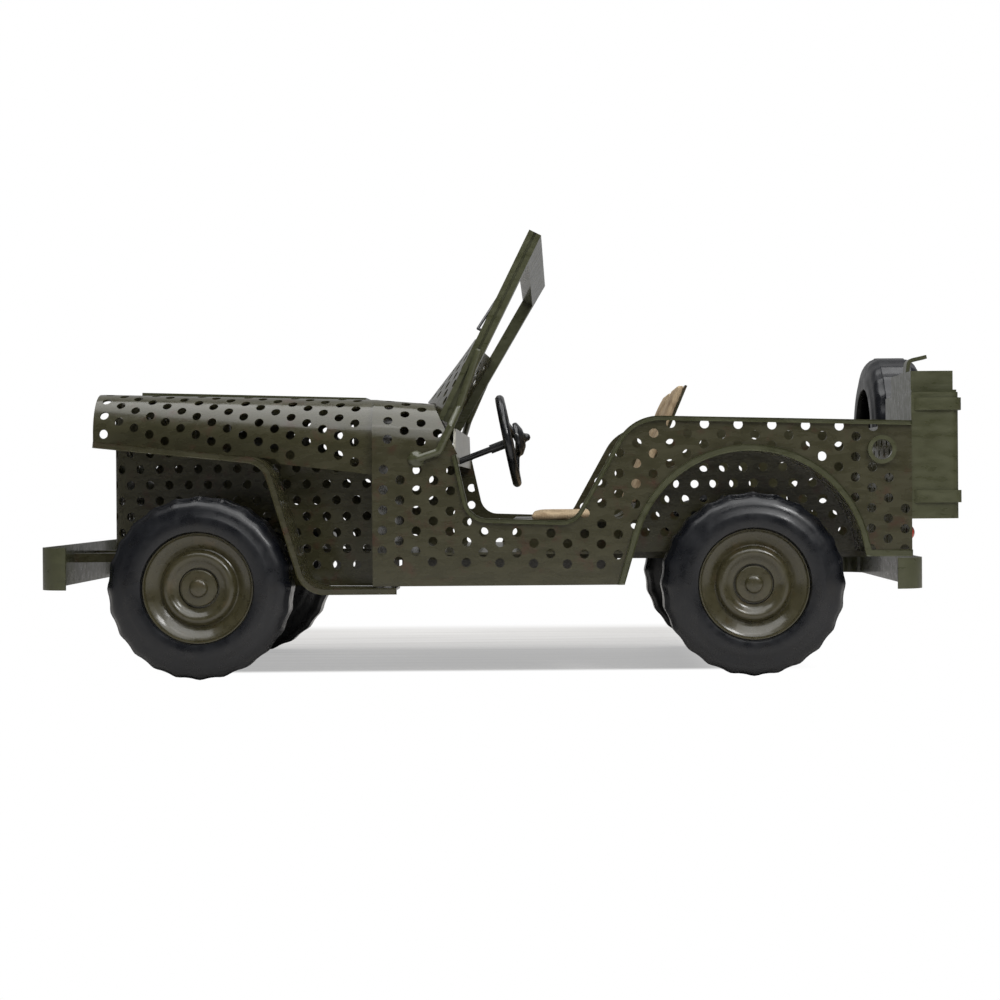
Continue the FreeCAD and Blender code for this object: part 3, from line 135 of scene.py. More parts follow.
class StudioSettings(bpy.types.PropertyGroup):
    """Camera, lamps and floor."""

    camera_place: FloatVectorProperty(
        name="Camera place", description="Where it stands", default=(-0.01485, 0.7505, 0.0637), unit="LENGTH"
    )
    camera_roll: number("Camera roll", "Turn about the line of sight", math.radians(0.43), "ROTATION")
    lens: number("Lens", "Focal length for a 36 mm film, in millimetres", 72.65)
    shift_x: number("Shift across", "Sideways shift of the frame", -0.05)
    shift_y: number("Shift up", "Upward shift of the frame", -0.01)
    key_power: number("Top light", "Power of the large lamp overhead", 10.0, "POWER")
    fill_power: number("Front light", "Power of the lamp at the camera", 3.0, "POWER")
    back_power: number("Back light", "Power of the lit backdrop", 2.0, "POWER")
    spot_power: number("Side light", "Power of the small lamp above the rear", 2.4, "POWER")
    shadow_white: number("White in the shadow", "Least share of white on the board", 0.42)
    world_strength: number("Surround", "Strength of the white surround", 0.09)


SETTINGS = {
    "model_car_sheet": SheetSettings,
    "model_car_tyre": TyreSettings,
    "model_car_paint": PaintSettings,
    "model_car_studio": StudioSettings,
}


class Step:
    """What every step of the layout shares: it can be undone, and its sizes changed after it."""

    bl_options = {"REGISTER", "UNDO"}


# Picking and finishing pieces


def pick(*items):
    """Leave only these objects selected, the first one active, or nothing."""
    for item in list(bpy.context.selected_objects):
        item.select_set(False)
    for item in items:
        item.select_set(True)
    if items:
        bpy.context.view_layer.objects.active = items[0]


@contextmanager
def editing(item, action):
    """Work on a piece in edit mode, once its faces are all picked or all left."""
    pick(item)
    bpy.ops.object.mode_set(mode="EDIT")
    bpy.ops.mesh.select_all(action=action)
    yield
    bpy.ops.object.mode_set(mode="OBJECT")


@contextmanager
def editing_faces(item, wanted):
    """Work in edit mode on the faces of a piece that meet a test."""
    with editing(item, "DESELECT"):
        bpy.ops.mesh.select_mode(type="FACE")
    for face in item.data.polygons:
        face.select = wanted(face)
    bpy.ops.object.mode_set(mode="EDIT")
    yield
    bpy.ops.object.mode_set(mode="OBJECT")


def add_modifier(item, name, kind, **settings):
    """Add a modifier with its settings."""
    modifier = item.modifiers.new(name, kind)
    for setting, value in settings.items():
        setattr(modifier, setting, value)
    return modifier


def apply_modifiers(item):
    """Apply every modifier of a piece, in order."""
    pick(item)
    for modifier in list(item.modifiers):
        bpy.ops.object.modifier_apply(modifier=modifier.name)


def cut_away(item, tool):
    """Take a tool's form out of a piece, and remove the tool."""
    add_modifier(item, "Cut", "BOOLEAN", operation="DIFFERENCE", solver="EXACT", object=tool)
    apply_modifiers(item)
    bpy.data.objects.remove(tool)


def new_object(name, mesh):
    """A new object of a mesh, placed in the scene."""
    item = bpy.data.objects.new(name, mesh)
    bpy.context.scene.collection.objects.link(item)
    return item


def copy_of_node(node, name):
    """A piece that starts as a merged copy of a CAD node."""
    item = new_object(name, frame["nodes"][node].data.copy())
    with editing(item, "SELECT"):
        bpy.ops.mesh.customdata_custom_splitnormals_clear()
        bpy.ops.mesh.remove_doubles(threshold=WELD)
    return item


def dress(item, slot_name, *nodes, body="car", finish=None, angle=SHEET_ANGLE):
    """Paint a finished piece, hang it on its body and hide the CAD nodes that it stands for."""
    item.data.materials.clear()
    item.data.materials.append(finish or FINISHES[slot_name])
    pick(item)
    bpy.ops.object.shade_smooth_by_angle(angle=angle)
    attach(item, body)
    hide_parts(*nodes)


def facing_out(item):
    """Turn all faces outwards."""
    with editing(item, "SELECT"):
        bpy.ops.mesh.normals_make_consistent(inside=False)


# Punched holes


def on_sheet(sheet, centre, normal, reach, depth):
    """True if a ring of points about a hole's place all lie on the sheet."""
    across = normal.orthogonal().normalized()
    along = normal.cross(across)
    ring_points = 8
    for step in range(ring_points):
        turn = 2 * math.pi * step / ring_points
        start = centre + (across * math.cos(turn) + along * math.sin(turn)) * reach + normal * depth
        if not sheet.ray_cast(start, -normal, distance=2 * depth)[0]:
            return False
    return True


def punch(sheet, places):
    """Cut a round hole at each place, given as a centre and a normal, that lies on the sheet."""
    sizes = bpy.context.scene.model_car_sheet
    radius = sizes.hole_diameter / 2
    pairs = [(Vector(centre), Vector(normal)) for centre, normal in places]
    kept = [pair for pair in pairs if on_sheet(sheet, *pair, radius + sizes.margin, sizes.cut_depth)]
    if not kept:
        raise RuntimeError(f"no hole lies on {sheet.name}")
    pick(sheet)
    bpy.ops.mesh.primitive_cylinder_add(
        vertices=sizes.hole_sides, radius=radius, depth=2 * sizes.cut_depth, end_fill_type="NGON"
    )
    first = bpy.context.active_object
    cutters = []
    for centre, normal in kept:
        cutter = new_object("punch", first.data.copy())
        cutter.matrix_world = Matrix.Translation(centre) @ normal.to_track_quat("Z", "X").to_matrix().to_4x4()
        cutters.append(cutter)
    bpy.data.objects.remove(first)
    bpy.context.view_layer.update()
    pick(*cutters)
    bpy.ops.object.join()
    cut_away(sheet, bpy.context.view_layer.objects.active)


def grid(low, high, first):
    """Places of the punched pattern in a flat region, as pairs: along the rows and across them."""
    sizes = bpy.context.scene.model_car_sheet
    pitch, row = sizes.hole_pitch, sizes.row_pitch
    places = []
    across = first[1] + math.ceil((low[1] - first[1]) / row) * row
    while across <= high[1]:
        odd = round((across - first[1]) / row) % 2
        start = first[0] + odd * pitch / 2
        along = start + math.ceil((low[0] - start) / pitch) * pitch
        while along <= high[0]:
            places.append((along, across))
            along += pitch
        across += row
    return places


def turned_grid(low, high, first):
    """The same pattern turned by a right angle."""
    return [(a, b) for b, a in grid((low[1], low[0]), (high[1], high[0]), (first[1], first[0]))]


# Materials


def wire(node, links):
    """Link sockets, or the first outputs of nodes, to a node's inputs."""
    for socket, source in links.items():
        node.id_data.links.new(getattr(source, "outputs", [source])[0], node.inputs[socket])


def add_node(tree, kind, links=None, values=None, **settings):
    """Add one shader node with its settings, socket values and incoming links."""
    node = tree.nodes.new("ShaderNode" + kind)
    for name, value in settings.items():
        setattr(node, name, value)
    for socket, value in (values or {}).items():
        node.inputs[socket].default_value = value
    wire(node, links or {})
    return node


def start_finish(name):
    """An empty material: its node tree, its shader and the place on the object."""
    finish = bpy.data.materials.new(name)
    finish.use_nodes = True
    tree = finish.node_tree
    tree.nodes.clear()
    shader = add_node(tree, "BsdfPrincipled")
    add_node(tree, "OutputMaterial", links={"Surface": shader})
    return finish, tree, shader, add_node(tree, "TexCoord").outputs["Object"]


def remap(source, span, target):
    """A node that maps one span of a value onto another."""
    values = {"From Min": span[0], "From Max": span[1], "To Min": target[0], "To Max": target[1]}
    return add_node(source.id_data, "MapRange", links={"Value": source}, values=values)


def mix_colours(share, low, high):
    """The mix of two colours by a share."""
    values = {6: [*low, 1.0], 7: [*high, 1.0]}
    return add_node(share.id_data, "Mix", data_type="RGBA", links={0: share}, values=values).outputs[2]


def brushed_enamel(name, base, trace, trace_share, roughness, stroke=(7.0, 2.5, 2.5), patch=7.0, coat=0.45):
    """Thick enamel brushed on metal by hand, with thin spots where the coat below shows.

    Strokes and patches are given in millimetres. The coat is glossy, and the
    brush leaves shallow ridges that break up the highlights.
    """
    ridge = {"Strength": 0.22, "Distance": 0.25 * MM}
    middle = (0.3, 0.7)
    finish, tree, shader, place = start_finish(name)
    patches = {"Scale": 1 / (patch * MM), "Detail": 5.0, "Roughness": 0.65}
    thin = add_node(tree, "TexNoise", links={"Vector": place}, values=patches).outputs["Fac"]
    worn = mix_colours(remap(thin, (0.56, 0.74), (0.0, trace_share)), base, trace)
    stroke_scale = [1 / (size * MM) for size in stroke]
    along = add_node(tree, "Mapping", links={"Vector": place}, values={"Scale": stroke_scale})
    noise = add_node(tree, "TexNoise", links={"Vector": along}, values={"Scale": 1.0, "Detail": 4.0})
    strokes = noise.outputs["Fac"]
    shade = remap(strokes, middle, (0.84, 1.12))
    toned = add_node(tree, "VectorMath", operation="SCALE", links={0: worn, "Scale": shade})
    gloss = remap(strokes, middle, (roughness * 0.7, roughness * 1.4))
    ridges = add_node(tree, "Bump", links={"Height": strokes}, values=ridge)
    wire(shader, {"Base Color": toned, "Roughness": gloss, "Normal": ridges})
    shader.inputs["Coat Weight"].default_value = coat
    shader.inputs["Coat Roughness"].default_value = 0.1
    return finish


def woven_canvas(name, base):
    """Tan cotton canvas: plain weave, stained along the seat, with no gloss."""
    # Threads of 0.3 mm are too fine to show, so they are drawn 0.9 mm apart
    thread_spacing = 0.9 * MM
    relief = {"Strength": 0.5, "Distance": 0.15 * MM}
    stain_size = 6 * MM
    finish, tree, shader, place = start_finish(name)
    # A wave texture of scale 1 has a band every pi / 10 of a metre
    threads = {"Scale": math.pi / (10 * thread_spacing), "Distortion": 0.6}
    weft, warp = (
        add_node(tree, "TexWave", bands_direction=way, links={"Vector": place}, values=threads).outputs["Fac"]
        for way in "XY"
    )
    weave = add_node(tree, "Math", operation="MAXIMUM", links={0: weft, 1: warp})
    stains = {"Scale": 1 / stain_size, "Detail": 6.0}
    stain = add_node(tree, "TexNoise", links={"Vector": place}, values=stains).outputs["Fac"]
    dirty = mix_colours(remap(stain, (0.48, 0.72), (0.0, 0.75)), base, linear("#6E5438"))
    depth = add_node(tree, "Bump", links={"Height": weave}, values=relief)
    wire(shader, {"Base Color": dirty, "Normal": depth})
    shader.inputs["Roughness"].default_value = 0.9
    return finish


FINISHES = {}


def make_finishes():
    """All finishes by the record's material slot."""
    paint = bpy.context.scene.model_car_paint
    # Slot, name, colour, the coat that shows through, its share, roughness and sizes in millimetres
    for slot_name, name, base, trace, trace_share, roughness, sizes in (
        ("body_paint", "OliveEnamelOnPunchedSteel", paint.body, paint.body_primer, 0.7, 0.26, {}),
        ("trim_paint", "OliveEnamelOnSteel", paint.trim, paint.body, 0.5, 0.33, {"patch": 10.0}),
        (
            "tyre_paint", "BlueBlackEnamelOnSteel", paint.tyre, linear("#2C2924"), 0.3, 0.3,
            {"stroke": (4.0, 4.0, 4.0), "patch": 12.0, "coat": 0.1},
        ),
        (
            "disc_paint", "OliveBrownEnamelOnTurnedSteel", paint.disc, linear("#5A4A30"), 0.5, 0.3,
            {"stroke": (3.0, 3.0, 3.0), "patch": 8.0},
        ),
        ("red_paint", "RedEnamelOnSteel", paint.lamp_red, linear("#7A2018"), 0.4, 0.25, {}),
        ("black_paint", "BlackEnamelOnSteel", paint.black, paint.trim, 0.3, 0.3, {}),
        ("pale_paint", "WornPaleEnamelOnSteel", paint.pale, paint.body, 0.9, 0.4, {}),
    ):
        FINISHES[slot_name] = brushed_enamel(name, base, trace, trace_share, roughness, **sizes)
    FINISHES["canvas"] = woven_canvas("StainedCottonCanvas", paint.canvas)


# Curved sheets laid flat: from a distance along the sheet to a place on it


def mixed(first, second, share):
    """Each pair of values, a share of the way from the first to the second."""
    return tuple(a + (b - a) * share for a, b in zip(first, second))


def roof_arcs(half_width, top_z, rise, corner):
    """Crown radius, shoulder centre (y, z) and turn to the shoulder of an arched roof."""
    radius = (half_width**2 + rise**2) / (2 * rise)
    centre_z = top_z - radius
    shoulder_y = half_width - corner
    shoulder_z = centre_z + math.sqrt((radius - corner) ** 2 - shoulder_y**2)
    return radius, shoulder_y, shoulder_z, math.atan2(shoulder_y, shoulder_z - centre_z)


def arch_place(half_width, top_z, rise, corner, run):
    """Place (y, z) and normal at a run from the crown of an arched roof with upright sides."""
    radius, shoulder_y, shoulder_z, away = roof_arcs(half_width, top_z, rise, corner)
    side = math.copysign(1, run)
    left = abs(run) - radius * away
    corner_run = corner * (math.pi / 2 - away)
    if left < 0:
        turn = abs(run) / radius
        place = (radius * math.sin(turn), top_z - radius + radius * math.cos(turn))
    elif left < corner_run:
        turn = away + left / corner
        place = (shoulder_y + corner * math.sin(turn), shoulder_z + corner * math.cos(turn))
    else:
        turn = math.pi / 2
        place = (half_width, shoulder_z - (left - corner_run))
    return (side * place[0], place[1]), (side * math.sin(turn), math.cos(turn))


def cut_across(item, places, normals):
    """Cut the faces of a piece along flat planes, without parting it."""
    with editing(item, "SELECT"):
        for place, normal in zip(places, normals):
            bpy.ops.mesh.select_all(action="SELECT")
            bpy.ops.mesh.bisect(plane_co=place, plane_no=normal)


def round_shoulders(item, rear, front):
    """Give an arched sheet true arcs at its shoulders, where the CAD sheet has flat runs."""
    step, turn_step = 6 * MM, 5
    low = Vector(item.bound_box[0])
    high = Vector(item.bound_box[6])
    cuts = int((high.x - low.x) / step)
    places = [(low.x + (high.x - low.x) * index / cuts, 0, 0) for index in range(1, cuts)]
    cut_across(item, places, [(1, 0, 0)] * len(places))
    _, shoulder_y, shoulder_z, _ = roof_arcs(*mixed(rear, front, 0.5))
    places, normals = [], []
    for side in (1, -1):
        for degrees in range(turn_step, 90, turn_step):
            turn = math.radians(degrees)
            places.append((0, side * shoulder_y, shoulder_z))
            normals.append((0, side * math.cos(turn), -math.sin(turn)))
    cut_across(item, places, normals)
    for point in item.data.vertices:
        outline = mixed(rear, front, (point.co.x - low.x) / (high.x - low.x))
        corner = outline[-1]
        _, shoulder_y, shoulder_z, _ = roof_arcs(*outline)
        across, up = abs(point.co.y) - shoulder_y, point.co.z - shoulder_z
        away = math.hypot(across, up)
        if across > 0 and up > 0 and away > corner - 2 * SHEET:
            wanted = corner if away > corner - SHEET / 2 else corner - SHEET
            if abs(away - wanted) < SHEET / 2:
                point.co.y = math.copysign(shoulder_y + across * wanted / away, point.co.y)
                point.co.z = shoulder_z + up * wanted / away


def bent_place(points, radii, run):
    """Place and left-hand normal at a run along a bent line with rounded corners."""
    here = Vector(points[0])
    for index, radius in enumerate((*radii, None), start=1):
        corner = Vector(points[index])
        way = (corner - here).normalized()
        normal = Vector((-way.y, way.x))
        if radius is None:
            break
        after = (Vector(points[index + 1]) - corner).normalized()
        turn = way.angle_signed(after)
        turn_run = radius * math.tan(abs(turn) / 2)
        straight = (corner - here).length - turn_run
        if run <= straight:
            break
        run -= straight
        arc = radius * abs(turn)
        if run <= arc:
            inward = -math.copysign(1, turn)
            centre = corner - way * turn_run + normal * radius * inward
            spin = Matrix.Rotation(run / radius * inward, 2)
            return centre + spin @ (-normal * inward) * radius, spin @ normal
        run -= arc
        here = corner + after * turn_run
    return here + way * run, normal


class MODELCAR_OT_side_panels(Step, bpy.types.Operator):
    """Punch the two sides of the tub"""

    bl_idname = "modelcar.side_panels"
    bl_label = "Side Panels"
    first_x: length("First hole along", "Place of one hole along the side", -9.3)
    first_z: length("First hole up", "Height of the same hole", 45.8)
    slope: number("Slope", "Fall of the rows to the rear", math.radians(1.35), "ROTATION")
    stretch: number("Stretch", "Pitch on the sides as a share of the sheet's", 1.013)
    far_x: length("Right side along", "Setback of the right side's holes", 1.9)
    far_z: length("Right side up", "Rise of the right side's holes", 1.1)
    painted_z: length("Painted shut", "Height below which paint fills the holes", 37.5)

    def execute(self, context):
        slope = Matrix.Rotation(self.slope, 2)
        for side, sign in SIDES:
            node = f"side_panel_{side}"
            low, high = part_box(node)
            panel = copy_of_node(node, f"punched_side_{side}")
            face_y = high.y if sign > 0 else low.y
            first = Vector((self.first_x, self.first_z))
            if sign < 0:
                first += Vector((-self.far_x, self.far_z))
            reach = high.x - low.x
            places = []
            for along, up in grid((-reach, -reach), (reach, reach), (0, 0)):
                x, z = first + slope @ Vector((along * self.stretch, up))
                if z > self.painted_z:
                    places.append(((x, face_y, z), (0, sign, 0)))
            punch(panel, places)
            dress(panel, "body_paint", node)
        return {"FINISHED"}


# Half width, top, rise and shoulder radius of the arched roofs, as the CAD outlines have them
HOOD_REAR = tuple(size * MM for size in (65.5, 96.6, 2.0, 18.0))
HOOD_FRONT = tuple(size * MM for size in (42.0, 99.8, 2.0, 14.5))
COWL_REAR = tuple(size * MM for size in (68.4, 94.14, 2.0, 16.0))
COWL_FRONT = tuple(size * MM for size in (68.4, 96.5, 2.0, 16.0))


class MODELCAR_OT_hood(Step, bpy.types.Operator):
    """Punch the arched hood, made anew as a smooth sheet, and the cowl behind it"""

    bl_idname = "modelcar.hood"
    bl_label = "Hood and Cowl"
    hood_first_x: length("Hood hole along", "Place of one hole along the hood", 141.6)
    hood_first_run: length("Hood hole across", "Run of the same hole from the crown", 51.0)
    cowl_first_x: length("Cowl hole along", "Place of one hole along the cowl", 40.0)
    cowl_first_run: length("Cowl hole across", "Run of the same hole from the crown", 82.0)
    rear_foot_z: length("Rear foot", "Height of the hood's lower edge at its rear", 69.4)
    front_foot_z: length("Front foot", "Height that the edge would reach at the front", 81.6)
    shoulder_x: length("Fender's shoulder", "Place from which the hood lies on the fender", 77.6)
    fender_x: length("Fender's bend", "Place of the fender's upper bend", 80.8)
    fender_z: length("Fender's top", "Height of the hood's foot at that bend", 75.15)
    fender_slope: number("Fender's slope", "Rise of the fender's top for its length", 6.1 / 58.5)
    columns: count("Columns", "Faces along the hood", 50, 10, 100)
    rows: count("Rows", "Faces round the hood", 90, 20, 200)

    def execute(self, context):
        hood = self.arched_sheet("punched_hood", *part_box("hood"))
        self.punch_arch(hood, "hood", (self.hood_first_x, self.hood_first_run), HOOD_REAR, HOOD_FRONT)
        cowl = copy_of_node("cowl", "punched_cowl")
        round_shoulders(cowl, COWL_REAR, COWL_FRONT)
        self.punch_arch(cowl, "cowl", (self.cowl_first_x, self.cowl_first_run), COWL_REAR, COWL_FRONT)
        return {"FINISHED"}

    def punch_arch(self, sheet, node, first, rear, front):
        low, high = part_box(node)
        reach = high.y + 2 * (high.z - low.z)
        places = []
        for x, run in grid((low.x, -reach), (high.x, reach), first):
            outline = mixed(rear, front, (x - low.x) / (high.x - low.x))
            place, normal = arch_place(*outline, run)
            places.append(((x, *place), (0, *normal)))
        punch(sheet, places)
        dress(sheet, "body_paint", node)

    def foot(self, x, low_x, high_x):
        """Height of the hood's lower edge, which lies on the fender in front of its shoulder."""
        if x > self.shoulder_x:
            return self.fender_z + self.fender_slope * (x - self.fender_x)
        return self.rear_foot_z + (self.front_foot_z - self.rear_foot_z) * (x - low_x) / (high_x - low_x)

    def arched_sheet(self, name, low, high):
        """A smooth arched sheet between the hood's two outlines, down to its lower edges."""
        pick()
        bpy.ops.mesh.primitive_grid_add(x_subdivisions=self.columns, y_subdivisions=self.rows, size=1)
        item = bpy.context.active_object
        item.name = name
        for point in item.data.vertices:
            share = point.co.x + 0.5
            x = low.x + share * (high.x - low.x)
            outline = mixed(HOOD_REAR, HOOD_FRONT, share)
            radius, _, shoulder_z, away = roof_arcs(*outline)
            corner_run = outline[-1] * (math.pi / 2 - away)
            last_run = radius * away + corner_run + shoulder_z - self.foot(x, low.x, high.x)
            (y, z), _ = arch_place(*outline, 2 * point.co.y * last_run)
            point.co = (x, y, z)
        add_modifier(item, "Wall", "SOLIDIFY", thickness=SHEET, offset=-1)
        apply_modifiers(item)
        return item


def groove(item, out, border, depth):
    """Sink the outermost faces that look one way, with a border left standing round them."""
    straight_share = 0.99
    reach = max(point.co.dot(out) for point in item.data.vertices) - SHEET / 8

    def outermost(face):
        return face.normal.dot(out) > straight_share and face.center.dot(out) > reach

    with editing_faces(item, outermost):
        bpy.ops.mesh.inset(thickness=border, depth=-depth)


class MODELCAR_OT_edge_strips(Step, bpy.types.Operator):
    """Roll the double edge of the strips round the door and the rear arch"""

    bl_idname = "modelcar.edge_strips"
    bl_label = "Edge Strips"
    border: length("Border", "Width of each raised edge", 0.4)
    depth: length("Depth", "Depth of the strip between them", 0.5)

    def execute(self, context):
        for side, sign in SIDES:
            node = f"panel_trim_{side}"
            strip = copy_of_node(node, f"edge_strip_{side}")
            groove(strip, Vector((0, sign, 0)), self.border, self.depth)
            dress(strip, "trim_paint", node)
        return {"FINISHED"}


class MODELCAR_OT_smooth_rods(Step, bpy.types.Operator):
    """Smooth the bent rods and the steering wheel, whose CAD forms have few flats"""

    bl_idname = "modelcar.smooth_rods"
    bl_label = "Rods and Steering Wheel"
    face_size: length("Face size", "Side of one face", 0.45)
    rounds: count("Rounds", "Smoothing rounds", 5, 0, 20)

    def execute(self, context):
        for node, body, slot_name in (
            ("hinge_rod_left", "car", "trim_paint"),
            ("hinge_rod_right", "car", "trim_paint"),
            ("steering_wheel", "steering", "black_paint"),
        ):
            rod = copy_of_node(node, f"smooth_{node}")
            add_modifier(rod, "Even", "REMESH", mode="VOXEL", voxel_size=self.face_size)
            add_modifier(rod, "Calm", "SMOOTH", iterations=self.rounds)
            apply_modifiers(rod)
            dress(rod, slot_name, node, body=body, angle=ROD_ANGLE)
        return {"FINISHED"}


class MODELCAR_OT_engine_bay(Step, bpy.types.Operator):
    """Punch the bent sheet round the engine bay, its pattern turned upright"""

    bl_idname = "modelcar.engine_bay"
    bl_label = "Engine Bay"
    first_x: length("First hole along", "Place of one hole of the side wall", 130.5)
    first_z: length("First hole up", "Height of the same hole", 72.05)
    front_half: length("Front half width", "Half the width of the front face", 32.0)
    corner: length("Corner", "Bend radius of the two front corners", 6.0)
    stretch: number("Stretch", "Pitch round the bay as a share of the sheet's", 1.06)
    far_z: length("Right side up", "Rise of the right side's holes", 2.4)
    foot_drop: length("Foot drop", "Drop of the lower edge", 0.45)
    opening_rear: length("Opening's rear", "Rear end of the opening above the hood's foot", 53.0)
    opening_front: length("Opening's front", "Front end of the same opening", 110.0)

    def execute(self, context):
        low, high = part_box("engine_bay")
        front = self.front_half
        plan = [(low.x, high.y), (high.x, front), (high.x, -front), (low.x, low.y)]
        side_run = math.hypot(high.x - low.x, high.y - front)
        first_run = (self.first_x - low.x) * side_run / (high.x - low.x)
        reach = 2 * (side_run + front)
        places = []
        for spot, z in turned_grid((0, low.z), (reach, high.z), (first_run, self.first_z)):
            run = first_run + (spot - first_run) * self.stretch
            if run > side_run + front:
                z += self.far_z
            place, normal = bent_place(plan, [self.corner, self.corner], run)
            places.append(((*place, z), (*normal, 0)))
        bay = copy_of_node("engine_bay", "punched_engine_bay")
        # The lower edge meets the fender's tail
        for point in bay.data.vertices:
            if point.co.z < low.z + SHEET / 2:
                point.co.z -= self.foot_drop
        self.open_under_hood(bay, 2 * high.y)
        punch(bay, places)
        dress(bay, "body_paint", "engine_bay")
        return {"FINISHED"}

    def open_under_hood(self, bay, reach):
        """Cut the long opening that each wall has above the hood's foot."""
        rear_z = (75.2 * MM, 89.5 * MM)
        front_z = (82.0 * MM, 92.5 * MM)
        pick()
        bpy.ops.mesh.primitive_cube_add(size=1, location=(0, 0, 0))
        opening = bpy.context.active_object
        for point in opening.data.vertices:
            x, heights = (self.opening_rear, rear_z) if point.co.x < 0 else (self.opening_front, front_z)
            z = max(heights) if point.co.z > 0 else min(heights)
            point.co = (x, math.copysign(reach, point.co.y), z)
        cut_away(bay, opening)


class MODELCAR_OT_fenders(Step, bpy.types.Operator):
    """Punch the bent strips over the front wheels"""

    bl_idname = "modelcar.fenders"
    bl_label = "Front Fenders"
    first_run: length("First hole along", "Run of one hole from the front tip", 6.0)
    first_y: length("First hole across", "Distance of the same hole from the middle", 37.0)
    lip_width: length("Lip", "Width of the outer edge that stays whole", 2.0)
    groove_width: length("Groove border", "Border beside the groove of the outer edge", 0.35)
    groove_depth: length("Groove depth", "Depth of the groove in the outer edge", 0.4)

    def execute(self, context):
        # Tip, upper bend, lower bend and tail of the CAD fender, seen from the side
        line = [(x * MM, z * MM) for x, z in ((139.3, 81.2), (80.8, 75.1), (67.3, 31.0), (37.2, 31.0))]
        radii = [10.0 * MM, 8.0 * MM]
        for side, sign in SIDES:
            node = f"fender_{side}"
            low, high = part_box(node)
            inner, outer = sorted((abs(low.y), abs(high.y)))
            far = (2 * (high.x - low.x), outer - self.lip_width)
            places = []
            for run, y in grid((0, inner), far, (self.first_run, self.first_y)):
                place, normal = bent_place(line, radii, run)
                places.append(((place.x, sign * y, place.y), (-normal.x, 0, -normal.y)))
            fender = copy_of_node(node, f"punched_fender_{side}")
            punch(fender, places)
            groove(fender, Vector((0, sign, 0)), self.groove_width, self.groove_depth)
            dress(fender, "body_paint", node)
        return {"FINISHED"}


class MODELCAR_OT_rear_sheets(Step, bpy.types.Operator):
    """Punch the rear panel and the two rear wheelhouses"""

    bl_idname = "modelcar.rear_sheets"
    bl_label = "Rear Panel and Wheelhouses"
    first_z: length("Rear hole up", "Height of one hole in the middle of the rear panel", 52.0)
    wall_z: length("Wall hole up", "Height of one hole of the wheelhouse wall", 60.0)
    arch_x: length("Arch along", "Middle of the arch, where that hole lies too", -82.3)
    arch_z: length("Arch up", "Height of the arch's middle", 37.5)
    arch_radius: length("Arch radius", "Radius of the arch's outer face", 39.8)

    def execute(self, context):
        low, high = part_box("rear_panel")
        panel = copy_of_node("rear_panel", "punched_rear_panel")
        spots = grid((low.y, low.z), (high.y, high.z), (0, self.first_z))
        punch(panel, [((low.x, y, z), (-1, 0, 0)) for y, z in spots])
        dress(panel, "body_paint", "rear_panel")
        for side, sign in SIDES:
            node = f"wheelhouse_{side}"
            low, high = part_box(node)
            inner_y = (low.y if sign > 0 else high.y) + sign * SHEET
            across = (high.y if sign > 0 else -low.y) - sign * inner_y
            house = copy_of_node(node, f"punched_wheelhouse_{side}")
            spots = turned_grid((low.x, low.z), (high.x, high.z), (self.arch_x, self.wall_z))
            punch(house, [((x, inner_y, z), (0, sign, 0)) for x, z in spots])
            quarter = math.pi / 2 * self.arch_radius
            places = []
            for run, y in turned_grid((-quarter, 0), (quarter, across), (0, across / 2)):
                turn = run / self.arch_radius
                away = Vector((math.sin(turn), 0, math.cos(turn)))
                place = Vector((self.arch_x, inner_y + sign * y, self.arch_z)) + away * self.arch_radius
                places.append((place, away))
            punch(house, places)
            dress(house, "body_paint", node)
        return {"FINISHED"}


# Wheels


WHEELS = (("front_left", 0), ("front_right", 180), ("rear_left", 0), ("rear_right", 180), ("spare", 90))

# Radius and depth behind the outer face, in millimetres, along a half of the tyre and along the disc
TYRE_HALF = (
    (18.95, 6.0), (18.95, 0.9), (19.3, 0.25), (20.0, 0.05), (23.6, 0.05), (24.4, 0.25), (25.4, 0.65),
    (26.6, 0.85), (27.8, 1.1), (29.2, 1.9), (30.2, 3.0), (30.8, 4.4), (31.25, 4.9), (31.3, 6.2),
)
DISC_LINE = (
    (18.9, 6.0), (18.9, 2.3), (18.7, 1.85), (18.3, 1.85), (18.1, 2.3), (17.9, 2.6), (17.3, 2.8), (15.6, 3.9),
    (14.2, 5.1), (13.4, 5.5), (13.0, 5.3), (12.6, 4.4), (11.9, 3.6), (11.0, 3.25), (10.0, 3.45), (9.3, 3.95),
    (8.6, 4.5), (7.7, 4.85), (6.95, 4.9), (6.75, 6.0), (6.35, 6.0), (6.2, 4.0), (5.85, 3.7), (3.2, 3.6),
    (2.95, 2.9), (2.4, 2.45), (1.2, 2.35),
)


def turned(name, line, sides):
    """A form turned about Y, its face at zero, from pairs of radius and depth in millimetres."""
    pick()
    radius, depth = line[0]
    bpy.ops.mesh.primitive_circle_add(
        vertices=sides, radius=radius * MM, location=(0, -depth * MM, 0), rotation=(math.pi / 2, 0, 0)
    )
    item = bpy.context.active_object
    item.name = name
    with editing(item, "SELECT"):
        for next_radius, next_depth in line[1:]:
            step = (0, (depth - next_depth) * MM, 0)
            bpy.ops.mesh.extrude_edges_move(TRANSFORM_OT_translate={"value": step})
            share = next_radius / radius
            bpy.ops.transform.resize(value=(share, 1, share), center_override=(0, -next_depth * MM, 0))
            radius, depth = next_radius, next_depth
    bpy.ops.object.transform_apply(location=True, rotation=True, scale=True)
    return item


